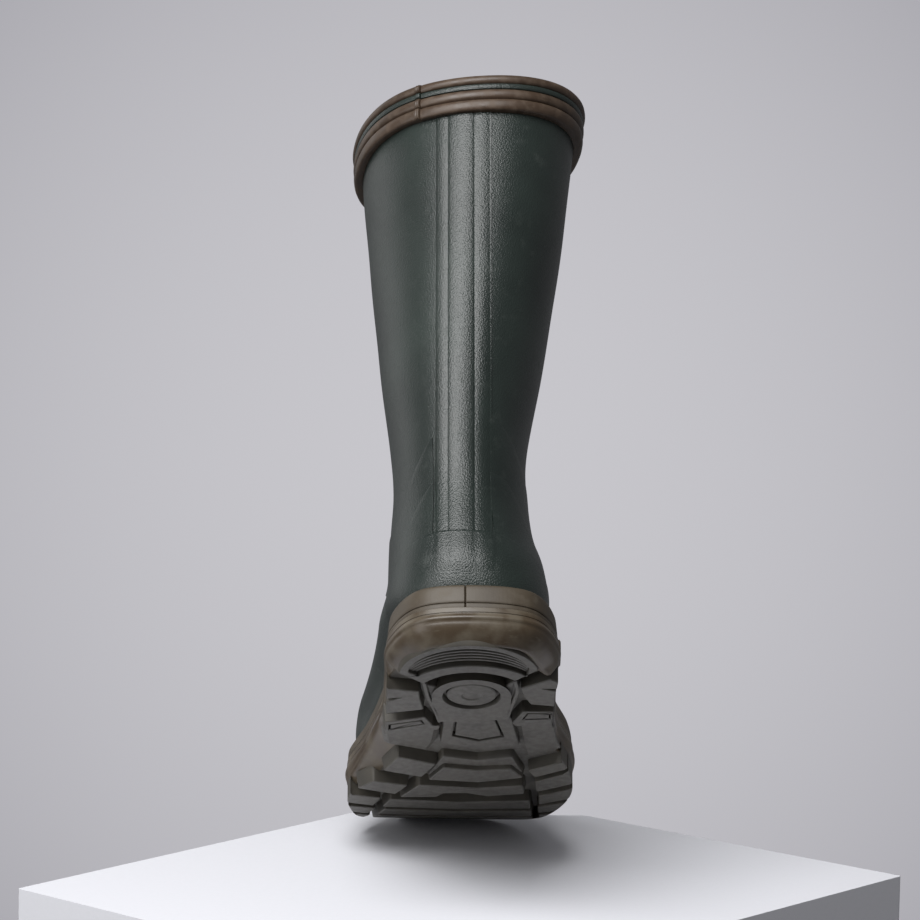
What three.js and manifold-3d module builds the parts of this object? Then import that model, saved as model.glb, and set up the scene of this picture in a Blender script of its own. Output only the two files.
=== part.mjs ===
// A right rubber field boot: a hand-laid rubber upper over an insulated neoprene sock,
// on a lugged cup sole. Millimetres, +Z up, +Y towards the toe, +X to the outer side.
// The origin lies on the ground under the middle of the sole's box.
import * as THREE from 'three';
import { mergeVertices } from 'three/addons/utils/BufferGeometryUtils.js';
import Module from 'manifold-3d';

const wasm = await Module();
wasm.setup();

// ---------------------------------------------------------------- driving dimensions
const GAP = 0.3;                 // clearance between pieces that touch
const SOLE_LENGTH = 296;         // heel to toe, outside the rand
const BALL_WIDTH = 117;          // across the forefoot, outside the rand
const HEEL_WIDTH = 87;           // across the heel, outside the rand
const WAIST_WIDTH = 80;          // across the arch, outside the rand
const TREAD_DEPTH = 6.5;         // lug height
const FOREFOOT_FLOOR = 13;       // ground to the underside of the upper at the ball
const HEEL_FLOOR = 22;           // ground to the underside of the upper at the heel
const ARCH_LIFT = 4;             // how far the arch stays above the lug roots
const TOE_SPRING = 35;           // rise of the tread at the toe
const SPRING_START = 6;          // where the tread starts to rise
const SPRING_POWER = 2.1;        // how late the rise comes
const CUP_HEIGHT_HEEL = 19;      // top of the moulded cup wall at the heel
const CUP_HEIGHT_BALL = 22;      // the same at the ball, above the tread's rise
const CUP_HEIGHT_TOE = 31;       // the same at the toe, above the tread's rise
const FOXING_HEIGHT = 13;        // foxing strip above the cup wall, at the heel
const FOXING_TOE_HEIGHT = 4;     // foxing strip above the cup wall, at the toe
const FOXING_INSET = 1;          // foxing strip behind the cup wall's face
const FOXING_WALL = 7;           // foxing strip thickness, down to the skin
const SHAFT_HEIGHT = 321;        // ground to the cut edge of the shaft, at the back
const CALF_DEPTH = 126;          // front to back at the top, rubber skin
const CALF_WIDTH = 110;          // side to side at the top, rubber skin
const ANKLE_HEIGHT = 128;        // where the shaft starts, at the back
const ANKLE_DEPTH = 107;         // front to back above the ankle, rubber skin
const ANKLE_WIDTH = 68.5;        // side to side above the ankle, rubber skin
const ANKLE_SHIFT = -4;          // ankle centre towards the inner side
const ANKLE_TILT = 18;           // ankle's front above its back
const BACK_AT_ANKLE = 12;        // back of the ankle in front of the heel's end
const BACK_AT_CALF = 6;          // back of the calf in front of the heel's end
const CALF_SHIFT = -1.5;         // calf centre towards the inner side
const CALF_BULGE = 0.35;         // how full the shaft is halfway up
const RIM_FALL = -2;             // degrees that the top line falls to the front
const RIM_ROLL = 5;              // degrees that the top line falls to the inner side
const CALF_SKEW = 0.15;           // slant of the calf's oval to the inner side in front
const RUBBER_WALL = 2.5;         // rubber skin thickness
const SOCK_WALL = 5;             // insulated neoprene sock thickness
const BOARD_WALL = 2.2;          // insole board thickness
const FOOTBED_WALL = 5;          // removable footbed thickness
const FOOTBED_PLAY = 1.5;        // footbed's edge to the sock's wall
const OVERLAY_WALL = 1.2;        // heel counter, toe cap and ankle patch thickness
const STIFFENER_WALL = 1.2;      // heel stiffener and toe puff thickness
const TOE_PUFF_RISE = 12;        // lower edge of the toe puff above the floor
const TOE_PUFF_BEHIND = 6;       // toe puff's back edge in front of the toe cap's
const BACK_STRIP_WALL = 1.6;     // strip over the back seam
const BACK_STRIP_WIDTH = 27.5;
const BACK_STRIP_SHIFT = -4.3;   // strip's middle towards the inner side
const COUNTER_HEIGHT = 65.5;     // top of the heel counter at the back
const COUNTER_SHOULDER = 58;     // the same at the heel's sides
const COUNTER_WIDTH = 68;        // between the counter's shoulders
const COUNTER_FLAT = 30;         // level part of the counter's top edge
const BINDING_HEIGHT = 18;       // top binding, outside
const BINDING_LIP = 9;           // top binding, inside
const BINDING_WALL = 4;          // top binding thickness, outside
const BINDING_LIP_WALL = 1.5;    // top binding thickness, inside
const BINDING_TOP = 2.5;         // binding above the shaft's cut edge
const INLAY_DEPTH = 1.2;         // stripe let into the binding
const INLAY_TOP = 3;             // stripe's upper edge below the shaft's cut edge
const INLAY_HEIGHT = 3;
const SHANK_WIDTH = 18;
const SHANK_LENGTH = 92;
const SHANK_WALL = 1.6;
const HEEL_CORE_INSET = 15;      // heel wall around the foam core
const HEEL_CORE_FLOOR = 3.4;     // rubber left under the foam core
const BADGE_RADIUS = 7;
const BADGE_WALL = 2.2;
const AROUND = 24;               // facets around the upper
const LEG_ROWS = 7;
const FOOT_ROWS = 15;
const TOE_ROWS = 5;

// ---------------------------------------------------------------- small helpers
const half = SOLE_LENGTH / 2;
const lerp = THREE.MathUtils.lerp;
const smooth = THREE.MathUtils.smoothstep;
const alongSole = (fraction) => fraction * SOLE_LENGTH;
const spring = (y) => {
  const run = Math.max(0, (y - SPRING_START) / (half - SPRING_START));
  return TOE_SPRING * run ** SPRING_POWER;
};
const floorHeight = (y) => {
  const drop = smooth(y, alongSole(-0.22), alongSole(-0.02));
  return lerp(HEEL_FLOOR, FOREFOOT_FLOOR, drop) + spring(y);
};

function solidFromGeometry(source) {
  const geometry = source.index ? source.clone() : source;
  geometry.deleteAttribute('normal');
  geometry.deleteAttribute('uv');
  const merged = mergeVertices(geometry, 1e-4);
  return new wasm.Manifold(new wasm.Mesh({
    numProp: 3,
    vertProperties: Float32Array.from(merged.attributes.position.array),
    triVerts: Uint32Array.from(merged.index.array),
  }));
}

// An extrusion whose outline lies in a plane given by two axes.
function prism(points, near, far, outlineX, outlineY) {
  const shape = new THREE.Shape(points.map(([a, b]) => new THREE.Vector2(a, b)));
  const geometry = new THREE.ExtrudeGeometry(shape, { depth: far - near, bevelEnabled: false });
  geometry.translate(0, 0, near);
  const outlineZ = new THREE.Vector3().crossVectors(outlineX, outlineY);
  geometry.applyMatrix4(new THREE.Matrix4().makeBasis(outlineX, outlineY, outlineZ));
  return solidFromGeometry(geometry);
}
const X = new THREE.Vector3(1, 0, 0);
const Y = new THREE.Vector3(0, 1, 0);
const Z = new THREE.Vector3(0, 0, 1);
const planPrism = (points, low, high) => prism(points, low, high, X, Y);
const sidePrism = (points, inner, outer) => prism(points, inner, outer, Y, Z);
const rearPrism = (points, front, back) => prism(points, -front, -back, X, Z);

// ---------------------------------------------------------------- sole outline
const outlinePoint = (width, side, fraction) => [side * width / 2, alongSole(fraction)];
const SOLE_SHIFT = { heel: 0.5, waistOuter: 5 };
const solePlanNodes = [
  [SOLE_SHIFT.heel / 2, -half],
  [HEEL_WIDTH * 0.35, alongSole(-0.477)],
  outlinePoint(HEEL_WIDTH + SOLE_SHIFT.heel, 1, -0.385),
  outlinePoint(HEEL_WIDTH + SOLE_SHIFT.heel * 2, 1, -0.27),
  outlinePoint(WAIST_WIDTH + SOLE_SHIFT.waistOuter * 2, 1, -0.15),
  outlinePoint(WAIST_WIDTH + SOLE_SHIFT.waistOuter * 3.4, 1, -0.055),
  outlinePoint(BALL_WIDTH, 0.955, 0.035),
  outlinePoint(BALL_WIDTH, 1, 0.125),
  outlinePoint(BALL_WIDTH, 0.93, 0.26),
  outlinePoint(BALL_WIDTH, 0.78, 0.385),
  outlinePoint(BALL_WIDTH, 0.46, 0.471),
  [-BALL_WIDTH * 0.05, half],
  outlinePoint(BALL_WIDTH, -0.55, 0.471),
  outlinePoint(BALL_WIDTH, -0.86, 0.385),
  outlinePoint(BALL_WIDTH, -0.97, 0.27),
  outlinePoint(BALL_WIDTH, -1, 0.18),
  outlinePoint(BALL_WIDTH, -0.86, 0.05),
  outlinePoint(WAIST_WIDTH, -1.12, -0.06),
  outlinePoint(WAIST_WIDTH, -1.05, -0.15),
  outlinePoint(HEEL_WIDTH, -0.96, -0.27),
  outlinePoint(HEEL_WIDTH, -0.95, -0.385),
  [-HEEL_WIDTH * 0.32, alongSole(-0.477)],
];
const solePlanCurve = new THREE.CatmullRomCurve3(
  solePlanNodes.map(([x, y]) => new THREE.Vector3(x, y, 0)), true, 'centripetal');
const PLAN_STEPS = 52;

// The sole's outline, drawn in by a distance along its own normals.
function solePlan(inset = 0) {
  const points = [];
  for (let i = 0; i < PLAN_STEPS; i += 1) {
    const at = solePlanCurve.getPoint(i / PLAN_STEPS);
    const tangent = solePlanCurve.getTangent(i / PLAN_STEPS);
    points.push([at.x - tangent.y * inset, at.y + tangent.x * inset]);
  }
  return points;
}

// ---------------------------------------------------------------- upper surface
// Each station is a plane section: its front (or top) point, its back (or bottom) point,
// half width, sideways centre, where the widest place lies, and how square it is.
function legStation(rise) {
  const backY = -half + lerp(BACK_AT_ANKLE, BACK_AT_CALF, rise);
  const backZ = lerp(ANKLE_HEIGHT, SHAFT_HEIGHT, rise);
  const bulge = rise + CALF_BULGE * rise * (1 - rise);
  const depth = lerp(ANKLE_DEPTH, CALF_DEPTH, bulge);
  const rimLift = -CALF_DEPTH * Math.tan(THREE.MathUtils.degToRad(RIM_FALL));
  const lift = lerp(ANKLE_TILT, rimLift, Math.sqrt(rise));
  return {
    front: [backY + depth, backZ + lift],
    back: [backY, backZ],
    width: lerp(ANKLE_WIDTH, CALF_WIDTH, bulge) / 2,
    shift: lerp(ANKLE_SHIFT - 1, CALF_SHIFT, bulge),
    mid: 0.5,
    square: [2.15, 2.15],
    skew: CALF_SKEW * rise,
  };
}

function footStation(front, back, width, shift, mid, squareBack, squareFront) {
  return { front, back, width, shift, mid, square: [squareBack, squareFront], skew: 0 };
}
const onFloor = (fraction) => [alongSole(fraction), floorHeight(alongSole(fraction))];
const upperStations = [
  legStation(1),
  legStation(0.75),
  legStation(0.5),
  legStation(0.25),
  legStation(0),
  footStation([-half + 123, ANKLE_HEIGHT + 3], [-half + BACK_AT_ANKLE, ANKLE_HEIGHT - 31],
    ANKLE_WIDTH / 2 - 1, ANKLE_SHIFT - 0.5, 0.49, 2.15, 2.15),
  footStation([-half + 132, ANKLE_HEIGHT - 9], [-half + 8, ANKLE_HEIGHT - 61],
    ANKLE_WIDTH / 2 + 0.5, ANKLE_SHIFT, 0.46, 2.2, 2.15),
  footStation([alongSole(0), ANKLE_HEIGHT - 18], [-half + 5, ANKLE_HEIGHT - 84],
    HEEL_WIDTH / 2 - 5, SOLE_SHIFT.heel - 2, 0.42, 2.4, 2.2),
  footStation([alongSole(0.05), ANKLE_HEIGHT - 26], [-half + 13, HEEL_FLOOR + 4],
    HEEL_WIDTH / 2 - 3.5, SOLE_SHIFT.heel - 1, 0.38, 2.7, 2.3),
  footStation([alongSole(0.11), ANKLE_HEIGHT - 36], onFloor(-0.35),
    HEEL_WIDTH / 2 - 3.5, SOLE_SHIFT.heel - 1.5, 0.4, 2.5, 2.4),
  footStation([alongSole(0.17), ANKLE_HEIGHT - 45], onFloor(-0.2),
    WAIST_WIDTH / 2 + 1.5, -2, 0.43, 2.4, 2.5),
  footStation([alongSole(0.225), ANKLE_HEIGHT - 51], onFloor(-0.05),
    WAIST_WIDTH / 2 + 6, -2.5, 0.45, 2.35, 2.5),
  footStation([alongSole(0.27), ANKLE_HEIGHT - 54], onFloor(0.085),
    BALL_WIDTH / 2 - 6, -1.5, 0.43, 2.6, 2.4),
  footStation([alongSole(0.315), ANKLE_HEIGHT - 56.5], onFloor(0.2),
    BALL_WIDTH / 2 - 7, -1, 0.44, 2.5, 2.3),
  footStation([alongSole(0.36), ANKLE_HEIGHT - 58], onFloor(0.31),
    BALL_WIDTH / 2 - 12, -2, 0.45, 2.4, 2.15),
];
const TOE_TIP = { y: half - 4.5, z: 50, shift: -3, power: 2 };

function sampleStations(position) {
  const last = upperStations.length - 1;
  const i = Math.min(Math.floor(position), last - 1);
  const t = position - i;
  const at = (k) => upperStations[THREE.MathUtils.clamp(k, 0, last)];
  const rounds = [at(i - 1), at(i), at(i + 1), at(i + 2)];
  const blend = (read) => {
    const [a, b, c, d] = rounds.map(read);
    return b + 0.5 * t * (c - a + t * (2 * a - 5 * b + 4 * c - d + t * (3 * (b - c) + d - a)));
  };
  return {
    front: [blend((s) => s.front[0]), blend((s) => s.front[1])],
    back: [blend((s) => s.back[0]), blend((s) => s.back[1])],
    width: blend((s) => s.width),
    shift: blend((s) => s.shift),
    mid: blend((s) => s.mid),
    square: [blend((s) => s.square[0]), blend((s) => s.square[1])],
    skew: blend((s) => s.skew),
  };
}

// One closed ring of the skin, moved inwards by inset (outwards where it is negative).
function sectionRing(station, inset, scale = 1, centre = null) {
  const [fy, fz] = station.front;
  const [by, bz] = station.back;
  const span = Math.hypot(by - fy, bz - fz);
  const dir = [(by - fy) / span, (bz - fz) / span];
  const reachBack = Math.max(0.5, (span * station.mid - inset) * scale);
  const reachFront = Math.max(0.5, (span * (1 - station.mid) - inset) * scale);
  const reachSide = Math.max(0.5, (station.width - inset) * scale);
  const home = centre ?? [by - dir[0] * span * station.mid, bz - dir[1] * span * station.mid];
  const ring = [];
  for (let j = 0; j < AROUND; j += 1) {
    const angle = (2 * Math.PI * j) / AROUND;
    const c = Math.cos(angle);
    const s = Math.sin(angle);
    const power = 2 / (c > 0 ? station.square[0] : station.square[1]);
    const along = Math.sign(c) * Math.abs(c) ** power * (c > 0 ? reachBack : reachFront);
    const side = Math.sign(s) * Math.abs(s) ** power * reachSide;
    const x = station.shift + side + station.skew * along;
    ring.push([x, home[0] + dir[0] * along, home[1] + dir[1] * along]);
  }
  return ring;
}

function upperRings(inset) {
  const rings = [];
  const last = upperStations.length - 1;
  for (let i = 0; i <= LEG_ROWS; i += 1) {
    rings.push(sectionRing(sampleStations((4 * i) / LEG_ROWS), inset));
  }
  for (let i = 1; i <= FOOT_ROWS; i += 1) {
    rings.push(sectionRing(sampleStations(lerp(4, last, i / FOOT_ROWS)), inset));
  }
  const end = upperStations[last];
  const start = [
    lerp(end.back[0], end.front[0], end.mid), lerp(end.back[1], end.front[1], end.mid)];
  for (let i = 1; i <= TOE_ROWS; i += 1) {
    const reach = Math.sin((0.96 * Math.PI * i) / (2 * TOE_ROWS));
    const scale = (1 - reach ** TOE_TIP.power) ** (1 / TOE_TIP.power);
    const centre = [lerp(start[0], TOE_TIP.y - inset, reach), lerp(start[1], TOE_TIP.z, reach)];
    const turned = {
      ...end,
      front: [lerp(end.front[0], end.back[0], 0.8 * reach), end.front[1]],
      shift: lerp(end.shift, TOE_TIP.shift, reach),
    };
    rings.push(sectionRing(turned, inset, scale, centre));
  }
  return rings;
}

// The body inside the skin at one inset, as a closed solid that runs on above the rim.
const ABOVE_RIM = { rise: 40, flare: 1.06 };
function envelope(inset) {
  const rings = upperRings(inset);
  rings.unshift(rings[0].map(([x, y, z]) => [x * ABOVE_RIM.flare, y, z + ABOVE_RIM.rise]));
  const positions = rings.flat(2);
  const middle = (ring) => [0, 1, 2].map((k) => ring.reduce((sum, p) => sum + p[k], 0) / AROUND);
  positions.push(...middle(rings[0]), ...middle(rings[rings.length - 1]));
  const topPole = rings.length * AROUND;
  const index = [];
  const at = (row, column) => row * AROUND + (column % AROUND);
  for (let i = 0; i + 1 < rings.length; i += 1) {
    for (let j = 0; j < AROUND; j += 1) {
      index.push(at(i, j), at(i + 1, j + 1), at(i, j + 1));
      index.push(at(i, j), at(i + 1, j), at(i + 1, j + 1));
    }
  }
  for (let j = 0; j < AROUND; j += 1) {
    index.push(topPole, at(0, j), at(0, j + 1));
    index.push(topPole + 1, at(rings.length - 1, j + 1), at(rings.length - 1, j));
  }
  const geometry = new THREE.BufferGeometry();
  geometry.setAttribute('position', new THREE.Float32BufferAttribute(positions, 3));
  geometry.setIndex(index);
  return solidFromGeometry(geometry);
}
const envelopes = new Map();
function inside(inset) {
  const key = inset.toFixed(3);
  if (!envelopes.has(key)) envelopes.set(key, envelope(inset));
  return envelopes.get(key);
}
const layer = (outer, inner) => inside(outer).subtract(inside(inner));

// ---------------------------------------------------------------- cutting regions
const FAR = 400;
const sideRegion = (points) => sidePrism(points, -FAR, FAR);
const BEHIND = -half - 20;
const AHEAD = half + 20;
const footHeights = (raise, from = BEHIND, to = AHEAD, steps = 26) =>
  Array.from({ length: steps + 1 }, (_, i) => {
    const y = lerp(from, to, i / steps);
    return [y, raise(y)];
  });
const above = (raise) => sideRegion([...footHeights(raise), [AHEAD, FAR], [BEHIND, FAR]]);
const between = (low, high, from = BEHIND, to = AHEAD) =>
  sideRegion([...footHeights(low, from, to), ...footHeights(high, from, to).reverse()]);

// A slab parallel to the top line, from one depth below it to another.
function rimSlab(fromDepth, toDepth) {
  const box = new THREE.BoxGeometry(2 * FAR, 2 * FAR, toDepth - fromDepth);
  const rim = upperStations[0];
  const roll = THREE.MathUtils.degToRad(RIM_ROLL);
  const fall = THREE.MathUtils.degToRad(RIM_FALL);
  box.translate(0, 0, -(fromDepth + toDepth) / 2);
  box.rotateX(-fall);
  box.rotateY(-roll);
  box.translate(rim.shift, (rim.back[0] + rim.front[0]) / 2, (rim.back[1] + rim.front[1]) / 2);
  return solidFromGeometry(box);
}

// The half space above (or below) the section plane at a station, moved along by a distance.
function stationHalf(index, move, keepAbove) {
  const { front: [fy, fz], back: [by, bz] } = upperStations[index];
  const length = Math.hypot(fy - by, fz - bz);
  const dir = [(fy - by) / length, (fz - bz) / length];
  const normal = [-dir[1], dir[0]];
  const at = (along, off) => [
    by + dir[0] * along + normal[0] * (off + move), bz + dir[1] * along + normal[1] * (off + move)];
  const depth = keepAbove ? FAR : -FAR;
  const corners = [at(-FAR, 0), at(FAR, 0), at(FAR, depth), at(-FAR, depth)];
  return sideRegion(keepAbove ? corners : corners.reverse());
}
const LEG_SEAM = 4;
const FOOT_SEAM = 6;
const legRegion = () => stationHalf(LEG_SEAM, GAP / 2, true);
const ankleRegion = () =>
  stationHalf(LEG_SEAM, -GAP / 2, false).intersect(stationHalf(FOOT_SEAM, GAP / 2, true));
const footRegion = () => stationHalf(FOOT_SEAM, -GAP / 2, false);
const belowRim = (depth) => rimSlab(depth, FAR);

// ---------------------------------------------------------------- upper pieces
const skin = () => layer(0, RUBBER_WALL).intersect(belowRim(0));
const sockOuter = RUBBER_WALL + GAP;
const sockInner = sockOuter + SOCK_WALL;
const boardTop = RUBBER_WALL + GAP + BOARD_WALL;
const sockFloor = boardTop + GAP;
const footbedFloor = sockFloor + SOCK_WALL + GAP;
function sock() {
  const outer = inside(sockOuter).intersect(above((y) => floorHeight(y) + sockFloor));
  const hollow = inside(sockInner).intersect(above((y) => floorHeight(y) + sockFloor + SOCK_WALL));
  return outer.subtract(hollow).intersect(belowRim(0)).subtract(pockets());
}

const overlay = (wall) => layer(-GAP - wall, -GAP);
const foxingTop = (y) => cupTop(y) + GAP + lerp(FOXING_HEIGHT, FOXING_TOE_HEIGHT,
  smooth(y, alongSole(-0.3), alongSole(0.35)));

const backOnly = (outline) => rearPrism(outline, -half / 2, -FAR);
function backStrip() {
  const inner = BACK_STRIP_SHIFT - BACK_STRIP_WIDTH / 2;
  const outer = BACK_STRIP_SHIFT + BACK_STRIP_WIDTH / 2;
  const low = COUNTER_HEIGHT + 2 * GAP;
  const outline = [[inner, low], [outer, low], [outer, FAR], [inner, FAR]];
  return overlay(BACK_STRIP_WALL).intersect(backOnly(outline))
    .intersect(belowRim(BINDING_HEIGHT + GAP));
}

const COUNTER_DIP = 16;            // counter's front corners below its shoulders
function heelCounter() {
  const across = (reach) => [ANKLE_SHIFT - reach, ANKLE_SHIFT + reach];
  const [innerShoulder, outerShoulder] = across(COUNTER_WIDTH / 2);
  const [innerFlat, outerFlat] = across(COUNTER_FLAT / 2);
  const outline = [
    [-FAR, 0], [FAR, 0], [FAR, COUNTER_SHOULDER - COUNTER_DIP],
    [outerShoulder, COUNTER_SHOULDER], [outerFlat, COUNTER_HEIGHT],
    [innerFlat, COUNTER_HEIGHT], [innerShoulder, COUNTER_SHOULDER],
    [-FAR, COUNTER_SHOULDER - COUNTER_DIP]];
  return overlay(OVERLAY_WALL).intersect(backOnly(outline))
    .intersect(above((y) => foxingTop(y) + GAP));
}

// A curved patch over each ankle bone, seen from the side as an arch open to the front.
const PATCH = {
  low: COUNTER_HEIGHT + 2.5, high: ANKLE_HEIGHT, back: 22, front: 62, fromMiddle: 12,
};
function anklePatch(side) {
  const arch = new THREE.Path();
  const heelward = -half + PATCH.back;
  const toeward = -half + PATCH.front;
  arch.moveTo(heelward, PATCH.low);
  arch.quadraticCurveTo(heelward + 2, PATCH.high - 8, toeward, PATCH.high);
  arch.quadraticCurveTo(toeward + 12, (PATCH.low + PATCH.high) / 2, toeward - 2, PATCH.low);
  const points = arch.getPoints(6).map((p) => [p.x, p.y]);
  points.pop();
  points.reverse();
  const region = side > 0
    ? sidePrism(points, PATCH.fromMiddle, FAR)
    : sidePrism(points, -FAR, -PATCH.fromMiddle);
  return overlay(OVERLAY_WALL).intersect(region);
}

const TOE_CAP_BACK = 0.27;
function toeCap() {
  const back = alongSole(TOE_CAP_BACK);
  const region = sideRegion([[back, 0], [FAR, 0], [FAR, FAR], [back, FAR]]);
  return overlay(OVERLAY_WALL).intersect(region).intersect(above((y) => foxingTop(y) + GAP));
}

// ---------------------------------------------------------------- stiffeners under the skin
const stiffenerLayer = (extra) => layer(sockOuter - extra, sockOuter + STIFFENER_WALL + extra);
const STIFFENER = { top: 66, slope: 16, low: 34, front: -0.27 };
function heelStiffenerRegion(extra) {
  const front = alongSole(STIFFENER.front) + extra;
  const low = STIFFENER.low - extra;
  const top = STIFFENER.top + extra;
  return sideRegion([
    [-FAR, low], [front, low], [front, top - STIFFENER.slope], [-half + STIFFENER.slope * 2, top],
    [-FAR, top]]);
}
function toePuffRegion(extra) {
  const back = alongSole(TOE_CAP_BACK) + TOE_PUFF_BEHIND - extra;
  const low = (y) => floorHeight(y) + TOE_PUFF_RISE - extra;
  return above(low).intersect(sideRegion([[back, 0], [FAR, 0], [FAR, FAR], [back, FAR]]));
}
const heelStiffener = () => stiffenerLayer(0).intersect(heelStiffenerRegion(0));
const toePuff = () => stiffenerLayer(0).intersect(toePuffRegion(0));
const pockets = () => stiffenerLayer(GAP).intersect(heelStiffenerRegion(GAP))
  .add(stiffenerLayer(GAP).intersect(toePuffRegion(GAP)));

// ---------------------------------------------------------------- inside the foot
function insoleBoard() {
  return inside(sockOuter).intersect(between(
    (y) => floorHeight(y) + RUBBER_WALL + GAP, (y) => floorHeight(y) + boardTop,
    -half + 14, half - 22));
}

function footbed() {
  return inside(sockInner + FOOTBED_PLAY).intersect(between(
    (y) => floorHeight(y) + footbedFloor, (y) => floorHeight(y) + footbedFloor + FOOTBED_WALL,
    -half + 22, half - 34));
}

// ---------------------------------------------------------------- sole
const cupTop = (y) => {
  const toBall = smooth(y, alongSole(-0.25), alongSole(0.12));
  const toToe = smooth(y, alongSole(0.2), half);
  return lerp(lerp(CUP_HEIGHT_HEEL, CUP_HEIGHT_BALL, toBall), CUP_HEIGHT_TOE, toToe) + spring(y);
};
const HEEL_BREAST = -0.145;
const ARCH_END = -0.045;
const lugRoot = (y) => {
  const arch = smooth(y, alongSole(HEEL_BREAST), alongSole(HEEL_BREAST) + 8)
    * (1 - smooth(y, alongSole(ARCH_END) - 10, alongSole(ARCH_END)));
  return TREAD_DEPTH + ARCH_LIFT * arch + spring(y);
};

function shankSlab(extra) {
  const side = SHANK_WIDTH / 2 + extra;
  const centreY = alongSole(-0.13);
  const ends = [centreY - SHANK_LENGTH / 2 - extra, centreY + SHANK_LENGTH / 2 + extra];
  const plan = planPrism([[4 - side, ends[0]], [4 + side, ends[0]], [4 + side, ends[1]],
    [4 - side, ends[1]]], 0, FAR);
  const low = (y) => floorHeight(y) - GAP - SHANK_WALL - GAP - extra;
  const high = (y) => floorHeight(y) - GAP - GAP + (extra > 0 ? 8 : 0);
  return plan.intersect(between(low, high, ends[0] - 4, ends[1] + 4));
}

function heelCore(extra) {
  const outline = solePlan(HEEL_CORE_INSET - extra);
  const top = HEEL_FLOOR - 2 * GAP - SHANK_WALL - 3 * GAP;
  const low = TREAD_DEPTH + HEEL_CORE_FLOOR;
  const front = alongSole(-0.2) + extra;
  const rise = extra > 0 ? 12 : 0;
  return planPrism(outline, low - extra, top + rise)
    .intersect(sideRegion([[-FAR, -FAR], [front, -FAR], [front, FAR], [-FAR, FAR]]));
}

// Lugs, as outlines on the ground: x to the outer side, y to the toe.
const MEDALLION = { x: 1.5, y: alongSole(-0.277), radius: 19.7 };
const circle = (x, y, radius, steps) =>
  Array.from({ length: steps }, (_, i) => {
    const angle = (2 * Math.PI * i) / steps;
    return [x + radius * Math.cos(angle), y + radius * Math.sin(angle)];
  });
const arc = (x, y, radius, from, to, steps) =>
  Array.from({ length: steps + 1 }, (_, i) => {
    const angle = THREE.MathUtils.degToRad(lerp(from, to, i / steps));
    return [x + radius * Math.cos(angle), y + radius * Math.sin(angle)];
  });

function heelSector() {
  const outer = arc(0, alongSole(-0.363), 35, 186, 354, 10);
  const inner = arc(MEDALLION.x, MEDALLION.y, 27, 315, 225, 6);
  return [...outer, ...inner];
}
const heelLugs = () => [
  heelSector(),
  circle(MEDALLION.x, MEDALLION.y, MEDALLION.radius, 20),
  [[-41, -91], [-24, -86.5], [-23.5, -69], [-40, -62]],
  [[26, -91], [38, -99], [45, -85], [45, -71.5], [28.5, -72]],
  [[-40, -58], [-19, -63], [-13.5, -46], [-36.5, -38]],
  [[22.5, -64], [45, -67], [45.5, -49], [25, -47]],
  [[-12, -61], [15, -61], [17, -50], [2, -47.5], [-11, -50]],
];
// Forefoot bars run in chevrons; each row is given at the groove lines and at the edges.
const groove = {
  inner: (y) => lerp(-12, -44, smooth(y, -20, 118)),
  outer: (y) => lerp(26, 40, smooth(y, -20, 90)),
};
const ROWS = { first: 1, pitch: 24, bar: 18, count: 6, chevron: 7 };
function forefootLugs() {
  const lugs = [];
  for (let row = 0; row < ROWS.count; row += 1) {
    const back = ROWS.first + row * ROWS.pitch;
    const front = back + ROWS.bar;
    const left = [groove.inner(back) + 2, groove.inner(front) + 2];
    const right = [groove.outer(back) - 2, groove.outer(front) - 2];
    lugs.push([[left[0], back], [right[0], back], [right[1], front], [left[1], front]]);
    const side = BALL_WIDTH / 2 + 4;
    const fall = ROWS.chevron;
    lugs.push([[-side, back - fall], [left[0] - 4, back], [left[1] - 4, front],
      [-side, front - fall]]);
    lugs.push([[right[0] + 4, back - 2], [side, back - 2 * fall], [side, front - 2 * fall],
      [right[1] + 4, front - 2]]);
  }
  return lugs;
}

const SOLE_TRIM = 1.2;
function lugBlock(outlines) {
  const blocks = outlines.map((points) => planPrism(
    THREE.ShapeUtils.area(points.map(([x, y]) => ({ x, y }))) < 0 ? points.reverse() : points,
    -10, FAR));
  const layerOfTread = between(spring, (y) => lugRoot(y) + 1);
  return blocks.reduce((all, next) => all.add(next)).intersect(layerOfTread)
    .intersect(planPrism(solePlan(SOLE_TRIM), -10, FAR));
}

const HEEL_BEVEL = { inset: 6, height: 9 };
function outsole() {
  const wall = planPrism(solePlan(), -10, FAR)
    .intersect(between(lugRoot, cupTop));
  const core = planPrism(solePlan(FOXING_INSET + FOXING_WALL + GAP), -10, FAR)
    .intersect(between(lugRoot, (y) => floorHeight(y) + FOXING_WALL));
  const cup = wall.add(core).subtract(inside(-GAP));
  const heelBevel = sideRegion([[-FAR, -FAR], [-half + HEEL_BEVEL.inset, -FAR],
    [-half + HEEL_BEVEL.inset, 0], [-half, HEEL_BEVEL.height], [-FAR, HEEL_BEVEL.height]]);
  return cup.add(lugBlock([...heelLugs(), ...forefootLugs()]))
    .subtract(heelBevel)
    .subtract(heelCore(GAP))
    .subtract(shankSlab(GAP));
}

function foxing() {
  return planPrism(solePlan(FOXING_INSET), -10, FAR)
    .subtract(planPrism(solePlan(FOXING_INSET + FOXING_WALL), -10, FAR))
    .intersect(between((y) => cupTop(y) + GAP, foxingTop))
    .subtract(inside(-GAP));
}

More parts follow.
